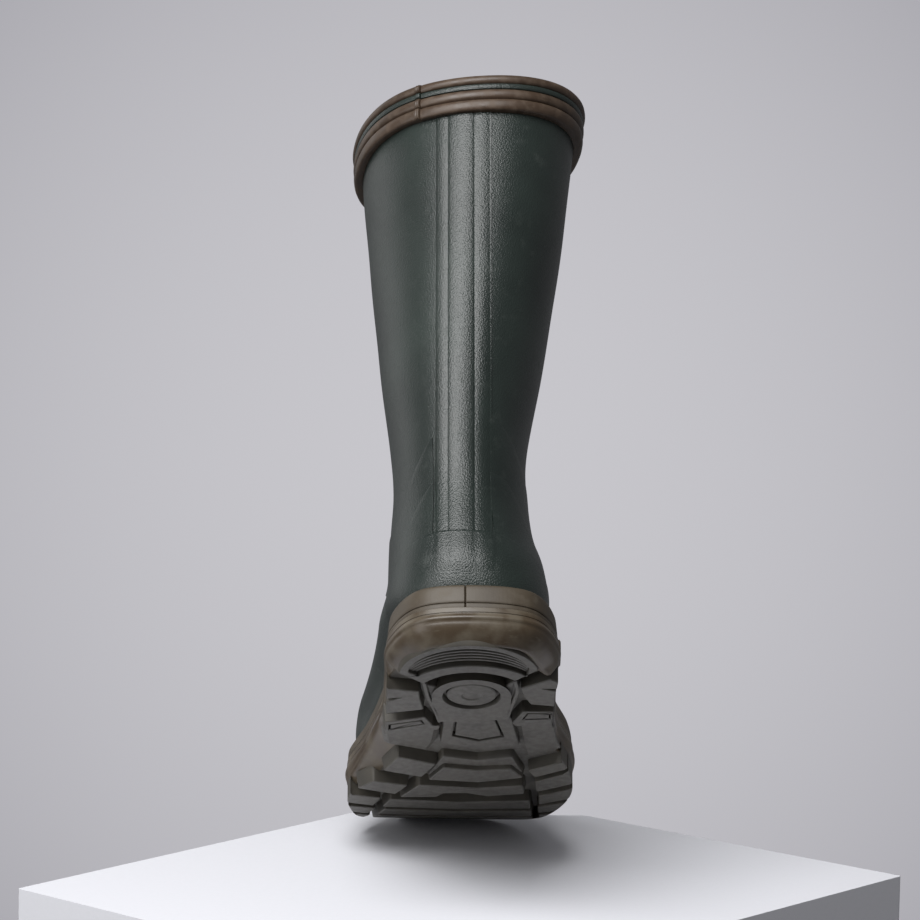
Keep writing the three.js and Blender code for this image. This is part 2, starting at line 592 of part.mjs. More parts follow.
// ---------------------------------------------------------------- top binding
const bindingOuter = -GAP - BINDING_WALL;
function binding() {
  const whole = layer(bindingOuter, sockInner + GAP + BINDING_LIP_WALL)
    .intersect(rimSlab(-BINDING_TOP, BINDING_HEIGHT));
  const slot = layer(-GAP, sockInner + GAP).intersect(rimSlab(-GAP, FAR));
  const below = inside(sockInner + GAP).intersect(rimSlab(BINDING_LIP, FAR));
  const stripe = layer(bindingOuter - 2, bindingOuter + INLAY_DEPTH + GAP)
    .intersect(rimSlab(INLAY_TOP - GAP, INLAY_TOP + INLAY_HEIGHT + GAP));
  return whole.subtract(slot).subtract(below).subtract(stripe);
}
const inlay = () => layer(bindingOuter, bindingOuter + INLAY_DEPTH)
  .intersect(rimSlab(INLAY_TOP, INLAY_TOP + INLAY_HEIGHT));

// ---------------------------------------------------------------- badge on the outer side
const BADGE_AT = { y: -0.27, z: 26 };
function badge() {
  const disc = new THREE.CylinderGeometry(BADGE_RADIUS - 0.8, BADGE_RADIUS, BADGE_WALL, 20);
  disc.rotateZ(-Math.PI / 2);
  const face = HEEL_WIDTH / 2 + SOLE_SHIFT.heel;
  disc.translate(face + GAP + BADGE_WALL / 2, alongSole(BADGE_AT.y), BADGE_AT.z);
  return solidFromGeometry(disc);
}

// ---------------------------------------------------------------- assembly
const finish = (color, roughness, metalness = 0) =>
  new THREE.MeshStandardMaterial({ color, roughness, metalness, flatShading: true });
const greenRubber = finish(0x39423f, 0.55);
const overlayRubber = finish(0x333c39, 0.55);
const brownRubber = finish(0x5b4c3d, 0.5);
const treadRubber = finish(0x4d4840, 0.75);
const neoprene = finish(0x2c2d2b, 0.95);
const board = finish(0x8d7d63, 0.85);
const foam = finish(0x3f4442, 0.9);
const steel = finish(0x9a9da0, 0.35, 1);

const boot = new THREE.Group();
function addPiece(name, solid, material) {
  const { vertProperties, triVerts } = solid.getMesh();
  const geometry = new THREE.BufferGeometry();
  geometry.setAttribute('position', new THREE.Float32BufferAttribute(vertProperties, 3));
  geometry.setIndex(Array.from(triVerts));
  geometry.computeVertexNormals();
  const mesh = new THREE.Mesh(geometry, material);
  mesh.name = name;
  boot.add(mesh);
}
addPiece('outsole', outsole(), treadRubber);
addPiece('foxing_strip', foxing(), brownRubber);
addPiece('heel_core', heelCore(0), foam);
addPiece('shank', shankSlab(0), steel);
addPiece('foot_shell', skin().intersect(footRegion()), greenRubber);
addPiece('ankle_sleeve', skin().intersect(ankleRegion()), greenRubber);
addPiece('leg_shell', skin().intersect(legRegion()), greenRubber);
addPiece('sock_foot', sock().intersect(footRegion()), neoprene);
addPiece('sock_ankle', sock().intersect(ankleRegion()), neoprene);
addPiece('sock_leg', sock().intersect(legRegion()), neoprene);
addPiece('heel_stiffener', heelStiffener(), board);
addPiece('toe_puff', toePuff(), board);
addPiece('insole_board', insoleBoard(), board);
addPiece('footbed', footbed(), foam);
addPiece('heel_counter', heelCounter(), overlayRubber);
addPiece('back_strip', backStrip(), overlayRubber);
addPiece('ankle_patch_inner', anklePatch(-1), overlayRubber);
addPiece('ankle_patch_outer', anklePatch(1), overlayRubber);
addPiece('toe_cap', toeCap(), overlayRubber);
addPiece('top_binding', binding(), brownRubber);
addPiece('binding_inlay', inlay(), greenRubber);
addPiece('side_badge', badge(), brownRubber);

export default boot;
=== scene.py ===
"""A right rubber field boot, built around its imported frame.

The upper follows one last: a fan of rounded sections from the top line down to the toe. The
rubber skin, the insulating sock, the overlays and the top binding are layers of that last. The
sole follows one outline, with a moulded cup wall, a foxing strip and a lugged tread.
Design sizes are millimetres and become metres where a mesh is made.
"""
import logging
import math
from dataclasses import dataclass, field
from enum import Enum
from functools import cached_property
from typing import Any, Callable, Iterable, Sequence

import bmesh
import bpy
import numpy as np
from mathutils import Matrix, Vector


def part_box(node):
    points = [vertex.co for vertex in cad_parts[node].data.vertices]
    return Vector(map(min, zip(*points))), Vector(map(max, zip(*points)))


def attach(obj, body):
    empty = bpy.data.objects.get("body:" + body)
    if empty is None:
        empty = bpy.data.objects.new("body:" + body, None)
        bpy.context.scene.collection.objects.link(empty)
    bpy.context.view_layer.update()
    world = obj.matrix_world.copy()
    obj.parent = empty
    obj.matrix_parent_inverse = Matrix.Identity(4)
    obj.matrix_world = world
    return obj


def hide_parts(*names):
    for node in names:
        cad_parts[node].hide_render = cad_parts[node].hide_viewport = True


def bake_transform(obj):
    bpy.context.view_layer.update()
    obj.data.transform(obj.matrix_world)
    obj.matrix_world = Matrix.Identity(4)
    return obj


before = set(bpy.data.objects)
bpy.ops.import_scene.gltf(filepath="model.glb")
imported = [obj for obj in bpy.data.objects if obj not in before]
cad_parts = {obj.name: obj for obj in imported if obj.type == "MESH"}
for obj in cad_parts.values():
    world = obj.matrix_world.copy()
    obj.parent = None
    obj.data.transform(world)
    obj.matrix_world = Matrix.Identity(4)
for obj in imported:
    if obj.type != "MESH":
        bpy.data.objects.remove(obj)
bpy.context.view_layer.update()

MM = 0.001
LOG = logging.getLogger("field_boot")
RUBBER_IOR = 1.52
Array = np.ndarray
Material = bpy.types.Material
Piece = bpy.types.Object
Tree = bpy.types.NodeTree
Node = bpy.types.Node
Socket = bpy.types.NodeSocket


class Body(Enum):
    """The frame's moving bodies."""

    FOOT = "foot"
    LEG = "leg"
    FOOTBED = "footbed"


class Side(Enum):
    """Which side of the right foot a piece lies on, as the sign of x."""

    INNER = -1
    OUTER = 1


# ------------------------------------------------------------------ numbers and outlines
def smooth(value: Array, low: float, high: float) -> Array:
    """Ease from 0 at low to 1 at high.

    Args:
        value: Where to read the ease.
        low: Start of the ease.
        high: End of the ease.

    Returns:
        The eased share, 0 to 1.
    """
    share = np.clip((np.asarray(value, float) - low) / (high - low), 0.0, 1.0)
    return share * share * (3.0 - 2.0 * share)


def mix(first: Array, second: Array, share: Array) -> Array:
    """Value between first and second at a share of the way."""
    return first + (second - first) * share


def unit(vectors: Array) -> Array:
    """Vectors scaled to length one."""
    return vectors / np.maximum(np.linalg.norm(vectors, axis=-1, keepdims=True), 1e-9)


def through(knots: Array, place: Array) -> Array:
    """A smooth curve through knots, read at places counted in knots from the first."""
    last = len(knots) - 1
    i = np.minimum(place.astype(int), last - 1)
    t = (place - i)[..., None]
    a, b, c, d = (knots[np.clip(i + k, 0, last)] for k in (-1, 0, 1, 2))
    return b + 0.5 * t * (c - a + t * (2 * a - 5 * b + 4 * c - d + t * (3 * (b - c) + d - a)))


def bisect(measure: Callable[[Array], Array], target: Array, low: float, high: float) -> Array:
    """Halve a range until a rising measure meets its target.

    Args:
        measure: Value at each guess.
        target: Value wanted at each place.
        low: Start of the range.
        high: End of the range.

    Returns:
        The place of each target.
    """
    lows, highs = np.full(target.shape, low), np.full(target.shape, high)
    for _ in range(26):
        guess = (lows + highs) / 2
        short = measure(guess) < target
        lows, highs = np.where(short, guess, lows), np.where(short, highs, guess)
    return (lows + highs) / 2


def offset_outline(points: Array, inset: float) -> Array:
    """Move a closed counter-clockwise outline inwards along its own corners.

    Args:
        points: Corners, one row each, x and y.
        inset: Distance inwards; negative moves outwards.

    Returns:
        The moved corners, as many as before.
    """
    before = unit(points - np.roll(points, 1, 0))
    after = unit(np.roll(points, -1, 0) - points)
    normal_before = np.stack([-before[:, 1], before[:, 0]], -1)
    normal_after = np.stack([-after[:, 1], after[:, 0]], -1)
    share = 1.0 / np.maximum(1.0 + (normal_before * normal_after).sum(-1), 0.45)
    return points + inset * (normal_before + normal_after) * share[:, None]


def round_corners(points: Array, radius: float, steps: int = 3) -> Array:
    """Replace each corner of a closed outline by a short curve.

    Args:
        points: Corners, one row each.
        radius: Distance from the corner at which its curve starts.
        steps: Spans of the curve.

    Returns:
        The longer list of points.
    """
    rounded = []
    count = len(points)
    for i in range(count):
        here = points[i]
        back = points[i - 1] - here
        ahead = points[(i + 1) % count] - here
        reach_back = min(radius, 0.45 * np.linalg.norm(back))
        reach_ahead = min(radius, 0.45 * np.linalg.norm(ahead))
        start = here + unit(back) * reach_back
        end = here + unit(ahead) * reach_ahead
        for k in range(steps + 1):
            t = k / steps
            rounded.append((1 - t) ** 2 * start + 2 * t * (1 - t) * here + t * t * end)
    return np.array(rounded)


def divide_edges(outlines: Sequence[Array], longest: float) -> list[Array]:
    """Cut the edges of matching outlines into equal numbers of short spans.

    Args:
        outlines: Closed outlines with the same number of corners.
        longest: Longest span on the first outline.

    Returns:
        The outlines with the added points.
    """
    first = outlines[0]
    lengths = np.linalg.norm(np.roll(first, -1, 0) - first, axis=-1)
    cuts = np.maximum(1, np.ceil(lengths / longest)).astype(int)
    divided = []
    for outline in outlines:
        ahead = np.roll(outline, -1, 0)
        spans = [
            mix(outline[i], ahead[i], np.arange(n)[:, None] / n) for i, n in enumerate(cuts)
        ]
        divided.append(np.concatenate(spans))
    return divided


def turned_left(points: Sequence[Sequence[float]]) -> Array:
    """The outline as an array that runs counter-clockwise."""
    array = np.array(points, float)
    x, y = array[:, 0], array[:, 1]
    area = (x * np.roll(y, -1) - np.roll(x, -1) * y).sum()
    return array if area > 0 else array[::-1].copy()


def arc(centre: Sequence[float], radius: float, start: float, end: float, steps: int) -> Array:
    """Points on a circle.

    Args:
        centre: The circle's centre, x and y.
        radius: The circle's radius.
        start: First angle in degrees.
        end: Last angle in degrees.
        steps: Spans between them.

    Returns:
        steps + 1 points.
    """
    turn = np.radians(np.linspace(start, end, steps + 1))
    return np.stack([centre[0] + radius * np.cos(turn), centre[1] + radius * np.sin(turn)], -1)


def unevenness(points: Array, size: float, seed: float) -> Array:
    """Slow, repeatable waves over a surface, about -1 to 1.

    Args:
        points: Places in millimetres.
        size: Length of the waves in millimetres.
        seed: Shifts the waves from piece to piece.

    Returns:
        One value for each point.
    """
    x, y, z = (points[..., k] * 2.0 * math.pi / size for k in range(3))
    waves = np.sin(x + 0.6 * y + seed) + np.sin(0.8 * z - 0.7 * x + 2.1 * seed)
    waves = waves + np.sin(0.9 * y + 1.3 * z + 3.7 * seed) + np.sin(1.7 * z + 1.1 * y - seed)
    return 0.25 * waves


# ------------------------------------------------------------------ meshes
def linked(name: str, data: bpy.types.ID) -> Piece:
    """A new object in the scene, at the origin."""
    holder = bpy.data.objects.new(name, data)
    bpy.context.scene.collection.objects.link(holder)
    return holder


def close_up(mesh: bpy.types.Mesh, weld: float = 0.0) -> None:
    """Weld double points, split wide faces and turn every face outwards.

    Args:
        mesh: The mesh to mend.
        weld: Points nearer than this many metres become one.
    """
    work = bmesh.new()
    work.from_mesh(mesh)
    if weld > 0.0:
        bmesh.ops.remove_doubles(work, verts=work.verts, dist=weld)
    bmesh.ops.triangulate(work, faces=[f for f in work.faces if len(f.verts) > 4])
    bmesh.ops.recalc_face_normals(work, faces=work.faces)
    work.to_mesh(mesh)
    work.free()


@dataclass
class Shell:
    """Points in millimetres and faces, gathered until they become one mesh object."""

    points: list[Array] = field(default_factory=list)
    faces: list[tuple[int, ...]] = field(default_factory=list)
    count: int = 0

    def add_points(self, points: Array) -> int:
        """Store points and return the index of the first."""
        flat = np.asarray(points, float).reshape(-1, 3)
        start = self.count
        self.points.append(flat)
        self.count += len(flat)
        return start

    def add_grid(self, grid: Array, around: bool = False, closed: bool = False) -> Array:
        """Add a net of four-sided faces.

        Args:
            grid: Points, rows by columns by three.
            around: Join the last column to the first.
            closed: Join the last row to the first.

        Returns:
            The index of each point, rows by columns.
        """
        rows, columns = grid.shape[:2]
        index = self.add_points(grid) + np.arange(rows * columns).reshape(rows, columns)
        self.add_net(index, around, closed)
        return index

    def add_net(self, index: Array, around: bool = False, closed: bool = False) -> None:
        """Add the faces between points that are stored already."""
        rows, columns = index.shape
        for i in range(rows if closed else rows - 1):
            below = index[(i + 1) % rows]
            here = index[i]
            for j in range(columns if around else columns - 1):
                k = (j + 1) % columns
                self.faces.append((int(here[j]), int(here[k]), int(below[k]), int(below[j])))

    def add_cap(self, ring: Array, middle: Array | None = None) -> None:
        """Close a ring of stored points, with a fan if a middle point is given."""
        if middle is None:
            self.faces.append(tuple(int(i) for i in ring))
            return
        centre = self.add_points(middle)
        for j in range(len(ring)):
            self.faces.append((int(ring[j]), int(ring[(j + 1) % len(ring)]), centre))

    def add_sheet(self, outer: Array, inner: Array, around: bool = False) -> None:
        """Add a closed sheet between two matching nets.

        Args:
            outer: Points of the face that shows.
            inner: Points of the face beneath it.
            around: The sheet runs right round, so that only its two rims are joined.
        """
        top = self.add_grid(outer, around)
        under = self.add_grid(inner[:, ::-1], around)[:, ::-1]
        for row in (0, -1):
            self.add_net(np.stack([top[row], under[row]]), around)
        if not around:
            for column in (0, -1):
                self.add_net(np.stack([top[:, column], under[:, column]]))

    def add_levels(self, levels: Sequence[Array]) -> None:
        """Add a closed solid from rings of points, capped at both ends."""
        rings = self.add_grid(np.stack(levels), around=True)
        self.add_cap(rings[0])
        self.add_cap(rings[-1][::-1])

    def build(self, name: str, finish: Material, sharp: float = 35.0) -> Piece:
        """Make the mesh object.

        Args:
            name: Name of the piece.
            finish: Its material.
            sharp: Edges that turn by more than this many degrees stay crisp.

        Returns:
            The linked object, at the origin.
        """
        mesh = bpy.data.meshes.new(name)
        mesh.from_pydata((np.concatenate(self.points) * MM).tolist(), [], self.faces)
        close_up(mesh)
        mesh.polygons.foreach_set("use_smooth", [True] * len(mesh.polygons))
        mesh.set_sharp_from_angle(angle=math.radians(sharp))
        mesh.materials.append(finish)
        return linked(name, mesh)


# ------------------------------------------------------------------ the last
@dataclass
class BootLast:
    """The foot and leg shape that the upper's layers follow.

    A place is given by a station, 0 at the top line to 15 at the toe's tip, by an angle, 0 at
    the back and 90 degrees at the outer side, and by a lift above the rubber skin.
    """

    sole_length: float = 296.0
    ball_width: float = 117.0
    heel_width: float = 87.0
    waist_width: float = 80.0
    heel_floor: float = 22.0
    forefoot_floor: float = 13.0
    toe_spring: float = 35.0
    spring_start: float = 6.0
    spring_power: float = 2.1
    ankle_height: float = 128.0
    ankle_depth: float = 107.0
    ankle_width: float = 69.8
    ankle_shift: float = -4.0
    shaft_height: float = 321.0
    calf_depth: float = 126.0
    calf_width: float = 109.6
    calf_shift: float = -0.2
    calf_skew: float = 0.15
    rim_fall: float = -2.0
    rim_roll: float = 5.0
    wave: float = 0.3
    rim_swell: float = 4.5
    cheek: float = 4.0

    @property
    def half(self) -> float:
        """Half the sole's length."""
        return self.sole_length / 2.0

    def spring(self, y: Array) -> Array:
        """How far the tread has risen towards the toe."""
        run = (np.asarray(y, float) - self.spring_start) / (self.half - self.spring_start)
        return self.toe_spring * np.maximum(0.0, run) ** self.spring_power

    def floor(self, y: Array) -> Array:
        """Height of the skin's underside above the ground."""
        drop = smooth(y, -0.22 * self.sole_length, -0.02 * self.sole_length)
        return mix(self.heel_floor, self.forefoot_floor, drop) + self.spring(y)

    def leg_station(self, rise: float) -> list[float]:
        """One section of the shaft, 0 at the ankle to 1 at the top line."""
        back_y = -self.half + mix(12.0, 6.0, rise)
        back_z = mix(self.ankle_height, self.shaft_height, rise)
        bulge = rise + 0.35 * rise * (1.0 - rise)
        depth = mix(self.ankle_depth, self.calf_depth, bulge)
        rim_lift = -self.calf_depth * math.tan(math.radians(self.rim_fall))
        width = mix(self.ankle_width, self.calf_width, bulge) / 2.0
        shift = mix(self.ankle_shift - 1.0, self.calf_shift, bulge)
        front = [back_y + depth, back_z + mix(18.0, rim_lift, math.sqrt(rise))]
        return [*front, back_y, back_z, width, shift, 0.5, 2.15, 2.15, self.calf_skew * rise]

    @cached_property
    def stations(self) -> Array:
        """The sections: front y and z, back y and z, half width, shift, middle, squareness
        at the back and at the front, and skew."""
        length, half, ankle = self.sole_length, self.half, self.ankle_height
        heel, waist, ball = self.heel_width / 2, self.waist_width / 2, self.ball_width / 2

        def on_floor(share: float) -> tuple[float, float]:
            """A point of the skin's underside at a share of the sole's length."""
            return length * share, float(self.floor(length * share))

        narrow = self.ankle_width / 2
        foot = [
            (-half + 123, ankle + 3, -half + 12, ankle - 31, narrow - 1, -4.5, 0.49, 2.15, 2.15),
            (-half + 132, ankle - 9, -half + 8, ankle - 61, narrow + 0.5, -4, 0.46, 2.2, 2.15),
            (0.0, ankle - 18, -half + 5, ankle - 84, heel - 5, -1.5, 0.42, 2.4, 2.2),
            (0.05 * length, ankle - 26, -half + 13, 26, heel - 3.5, -0.5, 0.38, 2.7, 2.3),
            (0.11 * length, ankle - 36, *on_floor(-0.35), heel - 3.5, -1, 0.4, 2.5, 2.4),
            (0.17 * length, ankle - 45, *on_floor(-0.2), waist + 1.5, -2, 0.43, 2.4, 2.5),
            (0.225 * length, ankle - 51, *on_floor(-0.05), waist + 6, -2.5, 0.45, 2.35, 2.5),
            (0.27 * length, ankle - 54, *on_floor(0.085), ball - 6, -1.5, 0.43, 2.6, 2.4),
            (0.315 * length, ankle - 56.5, *on_floor(0.2), ball - 7, -1, 0.44, 2.5, 2.3),
            (0.36 * length, ankle - 58, *on_floor(0.31), ball - 12, -2, 0.45, 2.4, 2.15),
        ]
        shaft = [self.leg_station(rise) for rise in (1.0, 0.75, 0.5, 0.25, 0.0)]
        return np.array(shaft + [[*row, 0.0] for row in foot])

    @property
    def last_station(self) -> int:
        """Index of the section where the toe's dome starts."""
        return len(self.stations) - 1

    @property
    def toe_tip(self) -> tuple[float, float, float]:
        """The toe's foremost point: y, z and sideways shift."""
        return self.half - 4.5, 50.0, -3.0

    def section(self, station: Array) -> Array:
        """The section's values at any station, by a cubic through its neighbours."""
        cubic = through(self.stations, np.clip(station, 0, self.last_station))
        above = np.minimum(station, 0)[..., None]
        return cubic + above * (self.stations[1] - self.stations[0])

    def point(self, station: Array, angle: Array, lift: Array = 0.0) -> Array:
        """Places on the last.

        Args:
            station: 0 at the top line to 15 at the toe's tip.
            angle: Radians, 0 at the back, to the outer side first.
            lift: Millimetres above the rubber skin.

        Returns:
            Points in millimetres, with the surface's slow unevenness.
        """
        station, angle, lift = np.broadcast_arrays(
            np.asarray(station, float), np.asarray(angle, float), np.asarray(lift, float))
        values = self.section(station)
        fy, fz, by, bz, width, shift, mid, *squares, skew = np.moveaxis(values, -1, 0)
        reach = np.sin(0.96 * np.pi / 2 * np.clip(station - self.last_station, 0, 1))
        tip_y, tip_z, tip_shift = self.toe_tip
        centre_y = mix(mix(by, fy, mid), tip_y + lift, reach)
        centre_z = mix(mix(bz, fz, mid), tip_z, reach)
        shift = mix(shift, tip_shift, reach)
        fy = mix(fy, by, 0.8 * reach)
        span = np.hypot(by - fy, bz - fz)
        dome = np.sqrt(np.maximum(0.0, 1.0 - reach**2))
        cos, sin = np.cos(angle), np.sin(angle)
        power = 2.0 / np.where(cos > 0, *squares)
        radius = np.where(cos > 0, span * mid, span * (1 - mid)) + lift
        along = np.sign(cos) * np.abs(cos) ** power * radius * dome
        side = np.sign(sin) * np.abs(sin) ** power * (width + lift) * dome
        x = shift + side + skew * along
        y = centre_y + (by - fy) / span * along
        z = centre_z + (bz - fz) / span * along
        points = np.stack([x, y, z], -1)
        full = smooth(station, 7.4, 8.8) * (1.0 - smooth(station, 10.9, 12.2))
        full = full * smooth(z, 35.0, 50.0) * np.maximum(0.0, -sin) ** 1.5
        points[..., 0] -= self.cheek * full
        wave = self.wave * unevenness(points, 95.0, 1.3) * (1.0 - smooth(station, 6.5, 8.0))
        return points + wave[..., None] * unit(np.stack([sin, 0 * sin, 0 * sin], -1)
                                               - np.stack([0 * cos, cos, 0 * cos], -1))

    @property
    def rim_middle(self) -> Array:
        """Centre of the top line."""
        fy, fz, by, bz, _, shift = self.stations[0][:6]
        return np.array([shift, (fy + by) / 2, (fz + bz) / 2])

    @property
    def rim_normal(self) -> Array:
        """Upward direction square to the top line's plane."""
        fall, roll = math.radians(-self.rim_fall), math.radians(-self.rim_roll)
        tilt = np.array([0.0, -math.sin(fall), math.cos(fall)])
        return np.array([
            tilt[0] * math.cos(roll) + tilt[2] * math.sin(roll), tilt[1],
            -tilt[0] * math.sin(roll) + tilt[2] * math.cos(roll)])

    def swell(self, angle: Array) -> Array:
        """How far the top line rises out of its plane at the inner side of the back."""
        off = (np.asarray(angle) + math.radians(58.0) + math.pi) % (2 * math.pi) - math.pi
        return self.rim_swell * np.exp(-(off / math.radians(46.0)) ** 2)

    def station_below_rim(self, angle: Array, depth: Array, lift: Array = 0.0) -> Array:
        """Station at a depth below the top line's plane.

        Args:
            angle: Radians around the leg.
            depth: Millimetres below the plane.
            lift: Millimetres above the skin.

        Returns:
            One station for each place.
        """
        angle, depth, lift = np.broadcast_arrays(
            np.asarray(angle, float), np.asarray(depth, float), np.asarray(lift, float))
        swell = self.swell(angle)

        def below(guess: Array) -> Array:
            """Depth of each guess below the swollen top line."""
            return swell - (self.point(guess, angle, lift) - self.rim_middle) @ self.rim_normal

        return bisect(below, depth, -0.8, 1.5)

    def below_rim(self, angle: Array, depth: Array, lift: Array) -> Array:
        """Points at a depth below the top line's plane, at a lift above the skin."""
        return self.point(self.station_below_rim(angle, depth, lift), angle, lift)

    def angle_at_x(self, station: Array, x: Array) -> Array:
        """Angle near the back at which a section has the given x."""
        station, x = np.broadcast_arrays(np.asarray(station, float), np.asarray(x, float))
        return bisect(lambda guess: self.point(station, guess)[..., 0], x, -1.35, 1.35)

    def locate(self, measure: Callable[[Array], Array], targets: Array,
               stations: tuple[float, float], angles: tuple[float, float],
               lift: float = 0.0) -> tuple[Array, Array]:
        """Station and angle where a measure of the place takes the target's two values.

        Args:
            measure: Turns points into pairs of values.
            targets: Pairs of values, any shape by two.
            stations: Range to look in.
            angles: Range to look in, radians.
            lift: Millimetres above the skin.

        Returns:
            The stations and the angles, shaped as the targets.
        """
        wanted = targets.reshape(-1, 2)
        try_s, try_a = np.meshgrid(
            np.linspace(*stations, 90), np.linspace(*angles, 90), indexing="ij")
        seen = measure(self.point(try_s, try_a, lift)).reshape(-1, 2)
        nearest = [int(np.argmin(((seen - goal) ** 2).sum(-1))) for goal in wanted]
        s, a = try_s.ravel()[nearest], try_a.ravel()[nearest]
        step = 1e-3
        for _ in range(8):
            here = measure(self.point(s, a, lift))
            by_s = (measure(self.point(s + step, a, lift)) - here) / step
            by_a = (measure(self.point(s, a + step, lift)) - here) / step
            miss = wanted - here
            det = by_s[:, 0] * by_a[:, 1] - by_a[:, 0] * by_s[:, 1]
            det = np.where(np.abs(det) < 1e-6, 1e-6, det)
            move_s = (miss[:, 0] * by_a[:, 1] - by_a[:, 0] * miss[:, 1]) / det
            move_a = (by_s[:, 0] * miss[:, 1] - miss[:, 0] * by_s[:, 1]) / det
            s = np.clip(s + np.clip(move_s, -0.2, 0.2), *stations)
            a = np.clip(a + np.clip(move_a, -0.2, 0.2), *angles)
        shape = targets.shape[:-1]
        return s.reshape(shape), a.reshape(shape)


@dataclass
class SolePlan:
    """The sole's outline on the ground, outside the cup wall."""

    last: BootLast
    count: int = 420
    joint_share: float = 0.15
    axis_x: float = -2.9

    @cached_property
    def corners(self) -> Array:
        """Points that the outline passes through, heel end first, outer side next."""
        length, half = self.last.sole_length, self.last.half
        heel, waist, ball = self.last.heel_width, self.last.waist_width, self.last.ball_width
        outer = [
            (heel * 0.35, -0.477), ((heel + 0.5) / 2, -0.385), ((heel + 1) / 2, -0.27),
            ((waist + 10) / 2, -0.15), ((waist + 17) / 2, -0.055), (0.955 * ball / 2, 0.035),
            (ball / 2, 0.125), (0.89 * ball / 2, 0.26), (0.7 * ball / 2, 0.385),
            (0.38 * ball / 2, 0.471)]
        inner = [
            (-0.55 * ball / 2, 0.471), (-0.86 * ball / 2, 0.385), (-0.97 * ball / 2, 0.27),
            (-ball / 2, 0.18), (-0.86 * ball / 2, 0.05), (-1.12 * waist / 2, -0.06),
            (-1.05 * waist / 2, -0.15), (-0.96 * heel / 2, -0.27), (-0.95 * heel / 2, -0.385),
            (-0.32 * heel, -0.477)]
        rows = [(0.25, -half)] + [(x, f * length) for x, f in outer]
        rows += [(-0.05 * ball, half)] + [(x, f * length) for x, f in inner]
        return np.array(rows)

    @cached_property
    def outline(self) -> Array:
        """The outline as many points, counter-clockwise from the heel's end."""
        corners = self.corners
        total = len(corners)
        even = np.arange(self.count) / self.count * total
        joint = total - self.joint_share + np.linspace(-0.035, 0.035, 25)
        share = np.sort(np.concatenate([even, joint]))
        i = share.astype(int)
        t = (share - i)[:, None]
        a, b, c, d = (corners[(i + k) % total] for k in (-1, 0, 1, 2))
        gaps = [np.linalg.norm(q - p, axis=-1, keepdims=True) ** 0.5
                for p, q in ((a, b), (b, c), (c, d))]
        start = ((b - a) / gaps[0] - (c - a) / (gaps[0] + gaps[1]) + (c - b) / gaps[1]) * gaps[1]
        end = ((c - b) / gaps[1] - (d - b) / (gaps[1] + gaps[2]) + (d - c) / gaps[2]) * gaps[1]
        return (b + start * t + (-3 * b + 3 * c - 2 * start - end) * t**2
                + (2 * b - 2 * c + start + end) * t**3)

    @cached_property
    def inward(self) -> Array:
        """Direction into the sole at each point of the outline."""
        tangent = unit(np.roll(self.outline, -1, 0) - np.roll(self.outline, 1, 0))
        return np.stack([-tangent[:, 1], tangent[:, 0]], -1)

    def drawn_in(self, inset: Array) -> Array:
        """The outline moved inwards."""
        return self.outline + self.inward * np.broadcast_to(inset, (len(self.outline),))[:, None]

    def ring(self, inset: Array, height: Array) -> Array:
        """The outline drawn in and raised, as points in space."""
        moved = self.drawn_in(inset)
        return np.column_stack([moved, np.broadcast_to(height, (len(moved),))])

    def edge(self, y: Array, side: Side, inset: Array = 0.0) -> Array:
        """The drawn-in outline's x at the given y, on one side."""
        moved = self.drawn_in(inset)
        chosen = moved[np.sign(moved[:, 0] - self.axis_x) == side.value]
        order = np.argsort(chosen[:, 1])
        return np.interp(y, chosen[order, 1], chosen[order, 0])

    def held_inside(self, points: Array, margin: float) -> Array:
        """Points of a plan outline, pulled in where they would pass the sole's edge."""
        low = self.edge(points[:, 1], Side.INNER) + margin
        high = self.edge(points[:, 1], Side.OUTER) - margin
        return np.column_stack([np.clip(points[:, 0], low, high), points[:, 1]])


